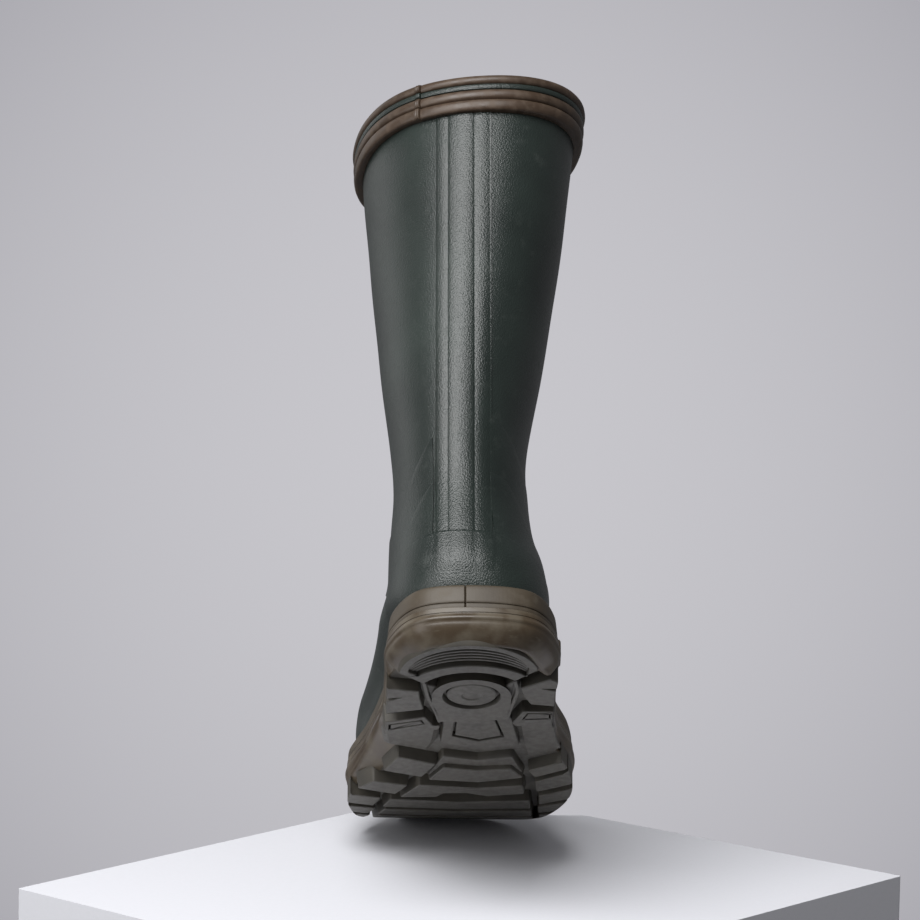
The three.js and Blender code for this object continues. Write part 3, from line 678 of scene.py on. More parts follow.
# ------------------------------------------------------------------ upper
@dataclass
class Upper:
    """The rubber skin, the insulating sock and the reinforcements laid over them."""

    last: BootLast
    rubber: Material
    overlay: Material
    knit: Material
    skin_wall: float = 2.5
    sock_wall: float = 5.0
    gap: float = 0.3
    around: int = 180
    strip_edges: tuple[float, float, float, float] = (-18.3, -12.2, 0.8, 9.6)
    strip_heights: tuple[float, float, float] = (0.7, 1.25, 0.8)
    counter_wall: float = 1.4
    counter_top: float = 65.5
    patch_wall: float = 0.55

    def net(self, top_depth: float, lift: float, rows: tuple[int, int, int, int]) -> Array:
        """Points of one layer from the top line to the toe's tip.

        Args:
            top_depth: Where the layer starts, below the top line's plane.
            lift: Millimetres above the skin.
            rows: Spans of the shaft, the ankle, the foot and the toe's dome.

        Returns:
            Rows by columns by three.
        """
        angle = np.linspace(0, 2 * np.pi, self.around, endpoint=False)
        top = self.last.station_below_rim(angle, top_depth, lift)
        shaft, ankle, foot, toe = rows
        share = np.linspace(0, 1, shaft, endpoint=False)[:, None]
        stations = [mix(top[None], 4.0, share)]
        spans = ((4.0, 6.0, ankle), (6.0, 14.0, foot))
        stations += [
            np.broadcast_to(np.linspace(a, b, n, endpoint=False)[:, None], (n, self.around))
            for a, b, n in spans]
        dome = 14.0 + np.linspace(0, 1, toe + 1)[:, None]
        stations.append(np.broadcast_to(dome, (toe + 1, self.around)))
        return self.last.point(np.concatenate(stations), angle, lift)

    def lined_wall(self, name: str, lifts: tuple[float, float], top_depth: float,
                   finish: Material) -> Piece:
        """A closed shell with an outer and an inner face, open at the top like a sock."""
        shell = Shell()
        outer = shell.add_grid(self.net(top_depth, lifts[0], (100, 26, 100, 16)), around=True)
        inner_net = self.net(top_depth, lifts[1], (30, 10, 40, 8))
        inner = shell.add_grid(inner_net[:, ::-1], around=True)[:, ::-1]
        shell.add_net(np.stack([outer[0], inner[0]]), around=True)
        tip_y, tip_z, tip_x = self.last.toe_tip
        shell.add_cap(outer[-1], np.array([tip_x, tip_y + lifts[0], tip_z]))
        shell.add_cap(inner[-1][::-1], np.array([tip_x, tip_y + lifts[1], tip_z]))
        return shell.build(name, finish, 60.0)

    def skin(self) -> Piece:
        """The rubber skin in one piece, as it leaves the last."""
        piece = self.lined_wall("rubber_upper", (0.0, -self.skin_wall), 1.0, self.rubber)
        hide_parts("foot_shell", "ankle_sleeve", "leg_shell")
        return bend_at_ankle(piece)

    def sock(self) -> Piece:
        """The insulating neoprene sock inside the rubber."""
        outer = -self.skin_wall - self.gap
        piece = self.lined_wall("neoprene_sock", (outer, outer - self.sock_wall), 0.6, self.knit)
        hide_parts("sock_foot", "sock_ankle", "sock_leg")
        return bend_at_ankle(piece)

    def strip_lift(self, x: Array) -> Array:
        """Height of the three ribs over the back seam at a distance across it."""
        lift = np.zeros_like(x)
        for left, right, height in zip(self.strip_edges, self.strip_edges[1:], self.strip_heights):
            share = np.clip((x - left) / (right - left), 0, 1)
            inside = (x >= left) & (x <= right)
            lift = np.where(inside, height * (0.25 + 0.55 * np.sin(np.pi * share) ** 0.3
                                              + 0.2 * np.sin(np.pi * share)), lift)
        sharp = self.strip_edges[-1]
        return np.where(np.abs(x - sharp) < 0.5, self.strip_heights[2] * 0.8, lift)

    def back_strip(self) -> Piece:
        """The ribbed strip that covers the back seam."""
        left, right = self.strip_edges[0], self.strip_edges[-1]
        inside = np.linspace(left + 0.25, right - 0.25, 74)
        x = np.concatenate([[left - 0.5, left], inside, [right, right + 0.12]])
        stations = np.linspace(0.24, 7.3, 210)[:, None]
        angle = self.last.angle_at_x(stations, x[None])
        lift = np.broadcast_to(self.strip_lift(x), angle.shape).copy()
        lift[:, 0] = -0.2
        lift[:, -1] = -0.3
        outer = self.last.point(stations, angle, lift)
        inner = self.last.point(stations, angle, -0.6)
        shell = Shell()
        shell.add_sheet(outer, inner)
        piece = shell.build("back_strip", self.overlay, 40.0)
        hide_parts("back_strip")
        return bend_at_ankle(piece)

    def heel_counter(self) -> Piece:
        """The counter round the heel, thin enough that the strip's ribs show through."""
        axis_x, axis_y = -1.0, -94.0
        turn = np.radians(np.linspace(-104, 104, 150))
        degrees = np.abs(np.degrees(turn))
        top = np.interp(degrees, [0, 22, 45, 66, 80, 92, 104],
                        [self.counter_top, self.counter_top, 63.0, 58.0, 51.5, 43.0, 33.0])
        down = np.concatenate([[0.0, 0.3, 0.7, 1.6], np.linspace(2.6, 38.0, 34)])
        height = np.maximum(top[None] - down[:, None], 25.0 + 0 * top[None] - 0.02 * down[:, None])

        def heading(points: Array) -> Array:
            """Direction round the heel's axis, scaled to millimetres, and height."""
            way = np.arctan2(points[..., 0] - axis_x, axis_y - points[..., 1])
            return np.stack([way * 45.0, points[..., 2]], -1)

        targets = np.stack([np.broadcast_to(turn * 45.0, height.shape), height], -1)
        station, angle = self.last.locate(heading, targets, (5.2, 11.5), (-2.1, 2.1))
        flat = self.last.point(station, angle)
        edge = np.interp(down, [0.0, 0.3, 0.7, 1.6], [-0.2, 0.7, 1.05, 1.0])[:, None]
        under = self.strip_lift(flat[..., 0]) * 0.75 * smooth(flat[..., 2], 36.0, 60.0)
        lift = self.counter_wall * edge + under * np.minimum(edge, 1.0)
        lift[0] = -0.2
        lift[:, 0] = lift[:, -1] = -0.2
        shell = Shell()
        shell.add_sheet(self.last.point(station, angle, lift), self.last.point(station, angle, -0.6))
        piece = shell.build("heel_counter", self.overlay, 50.0)
        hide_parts("heel_counter")
        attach(piece, Body.FOOT.value)
        return piece

    def patch_layer(self, shell: Shell, side: Side, top: Sequence[tuple[float, float]],
                    bottom: float, lifts: tuple[float, float]) -> None:
        """One layer of an ankle patch.

        Args:
            shell: Gathers the layer.
            side: Inner or outer side of the boot.
            top: Pairs of angle in degrees and station along the upper edge.
            bottom: Station of the lower edge.
            lifts: Height of its face and of its underside.
        """
        knots = np.array(top, float)
        angle = np.concatenate([
            np.linspace(knots[0, 0], knots[-1, 0], 60, endpoint=False),
            knots[-1, 0] + np.array([0.0, 0.6, 1.2])])
        high = np.interp(angle, knots[:, 0], knots[:, 1])
        kernel = np.ones(9) / 9.0
        padded = np.pad(high, 4, mode="edge")
        high = np.convolve(padded, kernel, mode="valid")
        down = np.concatenate([[0.0, 0.014, 0.03], np.linspace(0.06, 1.0, 34)])
        station = high[None] + np.where(
            down[:, None] < 0.05, down[:, None], down[:, None] * (bottom - high[None]))
        turn = np.radians(angle)[None] * side.value
        face = np.full(station.shape, lifts[0])
        face[0] = face[-1] = lifts[1]
        face[:, -1] = lifts[1]
        face[1] = mix(lifts[1], lifts[0], 0.8)
        shell.add_sheet(self.last.point(station, turn, face), self.last.point(station, turn, -0.6))

    def ankle_patch(self, side: Side) -> Piece:
        """The two stacked reinforcements over one ankle bone."""
        shell = Shell()
        wall = self.patch_wall
        if side is Side.INNER:
            first = [(24, 4.15), (28, 4.27), (48, 4.95), (58, 5.5), (65, 5.77), (90, 6.25),
                     (116, 6.5)]
            second = [(24, 5.05), (34, 5.34), (44, 5.73), (52, 6.09), (66, 6.6), (80, 6.9)]
        else:
            first = [(22, 3.88), (28, 3.92), (38, 4.01), (58, 4.38), (75, 4.9), (95, 5.6),
                     (116, 6.2)]
            second = [(22, 4.86), (28, 4.9), (38, 5.0), (50, 5.32), (62, 5.71), (76, 6.3),
                      (86, 6.8)]
        self.patch_layer(shell, side, first, 7.9, (wall, -0.1))
        self.patch_layer(shell, side, second, 7.8, (wall * 1.7, wall * 0.6))
        name = f"ankle_patch_{side.name.lower()}"
        piece = shell.build(name, self.overlay, 50.0)
        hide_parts(name)
        return bend_at_ankle(piece)

    def toe_cap(self) -> Piece:
        """The cap laid over the toes."""
        angle = np.radians(np.linspace(74, 286, 110))[None]
        dip = 0.35 * np.cos(angle - np.pi) ** 2
        share = np.concatenate([[0.0, 0.012, 0.03], np.linspace(0.06, 1.0, 46)])[:, None]
        station = mix(12.75 + dip, 14.985, share)
        rise = np.interp(share, [0.0, 0.012, 0.03], [-0.2, 0.8, 1.15])
        lift = np.broadcast_to(rise, station.shape).copy()
        lift[:, 0] = lift[:, -1] = -0.3
        shell = Shell()
        shell.add_sheet(self.last.point(station, angle, lift), self.last.point(station, angle, -0.6))
        piece = shell.build("toe_cap", self.overlay, 50.0)
        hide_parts("toe_cap")
        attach(piece, Body.FOOT.value)
        return piece

    def build(self) -> list[Piece]:
        """All the upper's pieces, from the skin outwards."""
        return [self.skin(), self.sock(), self.back_strip(), self.heel_counter(),
                self.ankle_patch(Side.INNER), self.ankle_patch(Side.OUTER), self.toe_cap()]


def bend_at_ankle(piece: Piece) -> Piece:
    """Bake a piece's place into its mesh, leaving it where it stands."""
    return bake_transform(piece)


# ------------------------------------------------------------------ top binding
@dataclass
class TopBinding:
    """The ribbed binding over the top line, its green inlay and its lap joint."""

    last: BootLast
    brown: Material
    green: Material
    lap_angle: float = -35.0
    inner_face: float = -9.3

    @property
    def section(self) -> Array:
        """Closed profile as depth below the top line and lift above the skin."""
        outside = [
            (18.0, 0.15), (18.0, 2.5), (17.75, 3.4), (17.1, 4.0), (15.8, 4.4), (14.2, 4.5),
            (12.8, 4.25), (12.1, 3.8), (11.75, 3.1), (11.55, 2.7), (11.35, 3.1), (11.0, 3.75),
            (10.3, 4.2), (9.0, 4.45), (7.9, 4.35), (6.9, 4.0), (6.3, 3.4), (6.05, 2.7),
            (5.9, 2.3), (2.75, 2.3), (2.6, 2.7), (2.35, 3.5), (1.6, 4.15), (0.4, 4.4),
            (-0.9, 4.1), (-1.8, 3.4), (-2.35, 2.3), (-2.5, 0.8)]
        inside = [
            (-2.5, -2.6), (-2.5, -6.2), (-2.3, -7.6), (-1.5, -8.6), (-0.3, -9.1),
            (2.0, self.inner_face), (7.2, self.inner_face), (8.5, -9.15), (8.95, -8.7),
            (8.9, -8.1), (4.0, -8.05), (0.2, -8.0), (0.2, -4.0), (0.2, 0.1), (6.0, 0.15),
            (12.0, 0.15)]
        return np.array(outside + inside)

    @cached_property
    def angles(self) -> Array:
        """Columns round the leg in radians, close together at the lap joint."""
        lap = self.lap_angle
        near = np.arange(-3.6, 3.61, 0.15)
        away = np.arange(3.6, 356.4, 1.5)[1:]
        return np.radians(lap + np.concatenate([near, away]))

    def lap_relief(self) -> tuple[Array, Array]:
        """How the joint changes the profile at each column.

        Returns:
            The added lift, and the shift down, for each column.
        """
        off = np.degrees(self.angles) - self.lap_angle
        off = (off + 180.0) % 360.0 - 180.0
        over = smooth(off, -3.4, -1.6) * (1.0 - smooth(off, -0.25, 0.0))
        crack = np.exp(-((off - 0.18) / 0.22) ** 2)
        pucker = over * (0.75 + 0.2 * np.sin(off * 6.0)) - 1.5 * crack
        step = 0.45 * smooth(off, -0.4, 0.4) * (1.0 - smooth(off, 6.0, 40.0))
        return pucker, step

    def sweep(self, section: Array, name: str, finish: Material) -> Piece:
        """Carry a closed profile round the top line."""
        pucker, step = self.lap_relief()
        angle = np.broadcast_to(self.angles, (len(section), len(self.angles)))
        outside = np.clip(section[:, 1] / 4.0, 0.0, 1.0)[:, None]
        wavy = 0.12 * np.sin(section[:, 0] * 1.9)[:, None] * (np.abs(pucker) > 0.05)
        depth = section[:, 0][:, None] + step * outside + wavy
        lift = section[:, 1][:, None] + pucker * outside
        shell = Shell()
        shell.add_grid(self.last.below_rim(angle, depth, lift), around=True, closed=True)
        piece = shell.build(name, finish, 38.0)
        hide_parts(name)
        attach(piece, Body.LEG.value)
        return piece

    def build(self) -> list[Piece]:
        """The binding and its inlay."""
        binding = self.sweep(self.section, "top_binding", self.brown)
        inlay = np.array([
            (5.88, 2.2), (5.86, 3.05), (5.6, 3.5), (5.0, 3.72), (4.3, 3.78), (3.6, 3.72),
            (3.05, 3.5), (2.8, 3.05), (2.78, 2.2)])
        stripe = self.sweep(inlay, "binding_inlay", self.green)
        return [binding, stripe]


# ------------------------------------------------------------------ cup wall and foxing
@dataclass
class CupSole:
    """The moulded cup wall round the sole, the foxing strip above it and the side badge."""

    last: BootLast
    plan: SolePlan
    glossy: Material
    strip: Material
    heel_height: float = 19.0
    ball_height: float = 22.0
    toe_height: float = 31.0
    foxing_heel: float = 13.0
    foxing_toe: float = 4.0
    wall: float = 8.0
    butt_x: float = -4.0
    badge_radius: float = 7.0

    def cup_top(self, y: Array) -> Array:
        """Height of the cup wall's upper edge."""
        length, half = self.last.sole_length, self.last.half
        to_ball = smooth(y, -0.25 * length, 0.12 * length)
        to_toe = smooth(y, 0.2 * length, half)
        low = mix(self.heel_height, self.ball_height, to_ball)
        return mix(low, self.toe_height, to_toe) + self.last.spring(y)

    def foxing_top(self, y: Array) -> Array:
        """Height of the foxing strip's upper edge."""
        length = self.last.sole_length
        height = mix(self.foxing_heel, self.foxing_toe, smooth(y, -0.3 * length, 0.35 * length))
        return self.cup_top(y) + 0.3 + height

    def lower_edge(self) -> tuple[Array, Array, Array]:
        """Where the wall turns in to the tread, at each point of the outline.

        Returns:
            How far in it ends, the height it ends at, and the height where it starts to turn.
        """
        x, y = self.plan.outline.T
        inner = np.interp(
            y, [-148, -128, -108, -101, -93, -61, -48, -36, -8, 10, 26, 42, 52, 120, 148],
            [6.5, 8.5, 8.0, 5.0, 1.4, 2.0, 4.0, 7.0, 12.0, 10.0, 9.0, 4.5, 2.6, 2.2, 3.2])
        outer = np.interp(
            y, [-148, -128, -114, -106, -98, -50, -30, 0, 40, 120, 148],
            [6.5, 8.5, 8.0, 4.5, 1.4, 1.6, 3.0, 2.6, 2.4, 2.4, 3.2])
        inner_side = x < self.plan.axis_x
        inset = np.where(inner_side, inner, outer)
        spring = self.last.spring(y)
        heel = 1.0 - smooth(y, -108.0, -100.0)
        low = mix(tread_root(self.last, y) - spring, 0.9, heel) + spring
        turn_heel = mix(12.0, 11.5, heel)
        lifted = turn_heel + 4.0 * smooth(inset, 4.0, 12.0) * (1 - heel)
        turn = np.where(inner_side, lifted, turn_heel)
        return inset, low, turn + spring

    def cup_wall(self) -> Piece:
        """The glossy wall: a ledge, a step line, a slightly full face and a turned-in foot."""
        y = self.plan.outline[:, 1]
        top = self.cup_top(y)
        inset, low, turn = self.lower_edge()
        rows = [(self.wall, top - 0.4), (3.0, top), (0.9, top), (0.5, top - 0.08), (0.25, top - 0.3),
                (0.2, top - 0.7), (0.08, top - 2.5), (0.1, top - 2.7), (0.42, top - 2.85),
                (0.42, top - 3.0), (0.08, top - 3.2), (-0.02, top - 3.5)]
        start = top - 4.0
        for share in np.linspace(0.0, 1.0, 9):
            full = 0.75 * math.sin(math.pi * share) + 0.05 * (1 - share)
            rows.append((-full, mix(start, turn, share)))
        for share in np.linspace(0.1, 1.0, 10):
            eased = 1.0 - math.cos(share * math.pi / 2 * 0.86)
            eased /= 1.0 - math.cos(math.pi / 2 * 0.86)
            rows.append((inset * eased, mix(turn, low, share)))
        rows += [(inset + 0.9, low - 0.15), (inset + 2.4, low + 0.6), (inset + 4.0, low + 3.0),
                 (np.maximum(inset + 4.0, self.wall), np.maximum(turn, low + 4.0))]
        shell = Shell()
        grid = np.stack([self.plan.ring(i, z) for i, z in rows])
        wave = unevenness(grid, 60.0, 4.2) * 0.12
        grid[:, :, :2] += (wave[..., None] * self.plan.inward[None])
        shell.add_grid(grid, around=True, closed=True)
        piece = shell.build("cup_wall", self.glossy, 40.0)
        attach(piece, Body.FOOT.value)
        return piece

    def foxing(self) -> Piece:
        """The foxing strip, with its middle groove and its butt joint at the heel."""
        x, y = self.plan.outline.T
        low = self.cup_top(y) - 0.2
        high = self.foxing_top(y)
        tall = high - low
        lean = 1.3 * smooth(tall, 4.0, 12.0)
        profile = [(7.6, 0.0), (1.3, 0.0), (0.75, 0.02), (0.62, 0.06), (0.6, 0.12), (0.62, 0.17),
                   (0.9, 0.19), (1.35, 0.2), (1.35, 0.225), (0.9, 0.235), (0.66, 0.26), (0.6, 0.34),
                   (0.6, 0.75), (0.7, 0.88), (0.95, 0.95), (1.5, 0.99), (2.4, 1.0), (7.6, 1.0)]
        rear = y < -self.last.half * 0.9
        joint = np.exp(-((x - self.butt_x) / 0.3) ** 2) * rear
        rows = []
        for inset, share in profile:
            drawn = inset + lean * share + 1.5 * joint * (inset < 3.0)
            rows.append(self.plan.ring(drawn, low + tall * share))
        shell = Shell()
        shell.add_grid(np.stack(rows), around=True, closed=True)
        piece = shell.build("foxing_strip", self.strip, 38.0)
        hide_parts("foxing_strip")
        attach(piece, Body.FOOT.value)
        return piece

    def badge(self) -> list[Piece]:
        """The moulded disc on the heel's outer side, with plain ridges round it."""
        low, high = (np.array(corner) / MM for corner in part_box("side_badge"))
        middle = (low + high) / 2
        face = high[0]
        radius = self.badge_radius
        turn = np.linspace(0, 2 * np.pi, 48, endpoint=False)
        profile = [(radius, low[0] - 1.6), (radius, face - 1.0), (radius - 0.35, face - 0.35),
                   (radius - 0.9, face), (radius - 1.3, face - 0.1), (radius - 1.6, face - 0.75),
                   (2.6, face - 0.75), (2.2, face - 0.35), (1.2, face - 0.1)]
        shell = Shell()
        circle = np.stack([0 * turn, np.cos(turn), np.sin(turn)], -1)
        shell.add_levels([
            np.array([x, middle[1], middle[2]]) + radius * circle for radius, x in profile])
        disc = shell.build("side_badge", self.strip, 35.0)
        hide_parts("side_badge")
        place = Matrix.Translation(Vector(((face - 0.72), middle[1], middle[2])) * MM)
        place = place @ Matrix.Rotation(math.pi / 2, 4, "Y")
        ridges = RidgeRing(count=18, inner=2.9, outer=5.2, width=0.55, height=0.55).build(
            "side_badge_ridges", self.strip, place)
        for piece in (disc, ridges):
            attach(piece, Body.FOOT.value)
        return [disc, ridges]

    def build(self) -> list[Piece]:
        """All the pieces of the sole's sides."""
        return [self.cup_wall(), self.foxing(), *self.badge()]


def tread_root(last: BootLast, y: Array) -> Array:
    """Height of the ground between the lugs, with the arch lifted."""
    length = last.sole_length
    arch = smooth(y, -0.145 * length, -0.145 * length + 8) * (
        1.0 - smooth(y, -0.045 * length - 10, -0.045 * length))
    return 6.5 + 4.0 * arch + last.spring(y)


# ------------------------------------------------------------------ node-built repeats
def add_node(tree: Tree, kind: str, settings: dict | None = None,
             links: dict | None = None) -> Node:
    """Add a node with its settings and the links into it.

    Args:
        tree: Tree that gets the node.
        kind: The node's type name.
        settings: Attributes, or input values by name or by index; "stops" fills a colour ramp
            with pairs of place and colour.
        links: Sockets that feed the inputs, by name or by index.

    Returns:
        The new node.
    """
    node = tree.nodes.new(kind)
    for key, value in (settings or {}).items():
        if key == "stops":
            ramp = node.color_ramp.elements
            while len(ramp) < len(value):
                ramp.new(0.5)
            for element, (place, colour) in zip(ramp, value):
                element.position = place
                element.color = colour
        elif isinstance(key, int) or (key in node.inputs and not hasattr(type(node), key)):
            node.inputs[key].default_value = value
        else:
            setattr(node, key, value)
    for key, socket in (links or {}).items():
        tree.links.new(socket, node.inputs[key])
    return node


def node_tree(name: str, sizes: dict[str, float]) -> tuple[Tree, Node]:
    """A geometry tree with one named input for each size.

    Args:
        name: The tree's name.
        sizes: Names of the inputs and their values; whole numbers become integer inputs.

    Returns:
        The tree and its input node.
    """
    tree = bpy.data.node_groups.new(name, "GeometryNodeTree")
    tree.interface.new_socket("Geometry", in_out="OUTPUT", socket_type="NodeSocketGeometry")
    for label, value in sizes.items():
        kind = "NodeSocketInt" if isinstance(value, int) else "NodeSocketFloat"
        tree.interface.new_socket(label, in_out="INPUT", socket_type=kind)
    return tree, tree.nodes.new("NodeGroupInput")


def finish_tree(tree: Tree, shape: Socket,
                finish: Material) -> None:
    """End a geometry tree: realize the instances, set the material and give it out."""
    real = add_node(tree, "GeometryNodeRealizeInstances", {}, {"Geometry": shape})
    painted = add_node(tree, "GeometryNodeSetMaterial", {"Material": finish},
                       {"Geometry": real.outputs["Geometry"]})
    add_node(tree, "NodeGroupOutput", {}, {0: painted.outputs["Geometry"]})


def mesh_from_tree(name: str, tree: Tree, sizes: dict[str, float],
                   place: Matrix, finish: Material) -> Piece:
    """Run a geometry tree and keep its result as a plain mesh.

    Args:
        name: Name of the piece.
        tree: The tree to run.
        sizes: Values of its named inputs.
        place: Where the result goes, in metres.
        finish: The piece's material.

    Returns:
        The linked object, at the origin, with its place in its mesh.
    """
    holder = linked(name + "_holder", bpy.data.meshes.new(name + "_holder"))
    modifier = holder.modifiers.new("nodes", "NODES")
    modifier.node_group = tree
    for item in tree.interface.items_tree:
        if item.item_type == "SOCKET" and item.in_out == "INPUT":
            modifier[item.identifier] = sizes[item.name]
    graph = bpy.context.evaluated_depsgraph_get()
    mesh = bpy.data.meshes.new_from_object(holder.evaluated_get(graph), depsgraph=graph)
    bpy.data.objects.remove(holder)
    mesh.name = name
    mesh.transform(place)
    close_up(mesh, 1e-6)
    mesh.materials.clear()
    mesh.materials.append(finish)
    mesh.set_sharp_from_angle(angle=math.radians(40.0))
    return linked(name, mesh)


@dataclass
class RidgeRing:
    """Straight ridges set like spokes round a centre (millimetres)."""

    count: int
    inner: float
    outer: float
    width: float
    height: float

    def build(self, name: str, finish: Material, place: Matrix) -> Piece:
        """Make the ridges.

        Args:
            name: Name of the piece.
            finish: Its material.
            place: Frame whose z axis points out of the face that carries the ridges.

        Returns:
            The finished mesh object.
        """
        sizes = {"Count": self.count, "Inner": self.inner * MM, "Outer": self.outer * MM,
                 "Width": self.width * MM, "Height": self.height * MM}
        tree, given = node_tree(name + "_tree", sizes)
        span = add_node(tree, "ShaderNodeMath", {"operation": "SUBTRACT"},
                        {0: given.outputs["Outer"], 1: given.outputs["Inner"]})
        radius = add_node(tree, "ShaderNodeMath", {"operation": "ADD"},
                          {0: given.outputs["Outer"], 1: given.outputs["Inner"]})
        middle = add_node(tree, "ShaderNodeMath", {"operation": "MULTIPLY", 1: 0.5},
                          {0: radius.outputs[0]})
        size = add_node(tree, "ShaderNodeCombineXYZ", {},
                        {"X": span.outputs[0], "Y": given.outputs["Width"],
                         "Z": given.outputs["Height"]})
        bar = add_node(tree, "GeometryNodeMeshCube",
                       {"Vertices X": 3, "Vertices Y": 3, "Vertices Z": 2},
                       {"Size": size.outputs[0]})
        position = add_node(tree, "GeometryNodeInputPosition")
        parts = add_node(tree, "ShaderNodeSeparateXYZ", {}, {0: position.outputs[0]})
        upper = add_node(tree, "FunctionNodeCompare", {"operation": "GREATER_THAN", 1: 0.0},
                         {0: parts.outputs["Z"]})
        narrow = add_node(tree, "ShaderNodeVectorMath", {"operation": "MULTIPLY", 1: (0.9, 0.45, 1.0)},
                          {0: position.outputs[0]})
        drafted = add_node(tree, "GeometryNodeSetPosition", {},
                           {"Geometry": bar.outputs["Mesh"], "Selection": upper.outputs[0],
                            "Position": narrow.outputs[0]})
        circle = add_node(tree, "GeometryNodeMeshCircle", {},
                          {"Vertices": given.outputs["Count"], "Radius": middle.outputs[0]})
        index = add_node(tree, "GeometryNodeInputIndex")
        whole = add_node(tree, "ShaderNodeMath", {"operation": "DIVIDE", 0: 2.0 * math.pi},
                         {1: given.outputs["Count"]})
        turn = add_node(tree, "ShaderNodeMath", {"operation": "MULTIPLY"},
                        {0: index.outputs[0], 1: whole.outputs[0]})
        rotation = add_node(tree, "ShaderNodeCombineXYZ", {}, {"Z": turn.outputs[0]})
        placed = add_node(tree, "GeometryNodeInstanceOnPoints", {},
                          {"Points": circle.outputs["Mesh"], "Instance": drafted.outputs["Geometry"],
                           "Rotation": rotation.outputs[0]})
        finish_tree(tree, placed.outputs["Instances"], finish)
        return mesh_from_tree(name, tree, sizes, place, finish)


# ------------------------------------------------------------------ tread
@dataclass
class Lug:
    """One moulded block of the tread, standing on its face."""

    outline: Sequence[Sequence[float]]
    root: float = 7.2
    face: float = 0.0
    draft: float = 0.9
    corner: float = 1.0


@dataclass
class Framed:
    """A block whose face is a frame round a sunk window, with a panel in the window."""

    outline: Sequence[Sequence[float]]
    window: Sequence[Sequence[float]]
    face: float = 0.2
    floor: float = 2.6
    root: float = 11.0
    groove: float = 0.9
    panel: float = 0.2


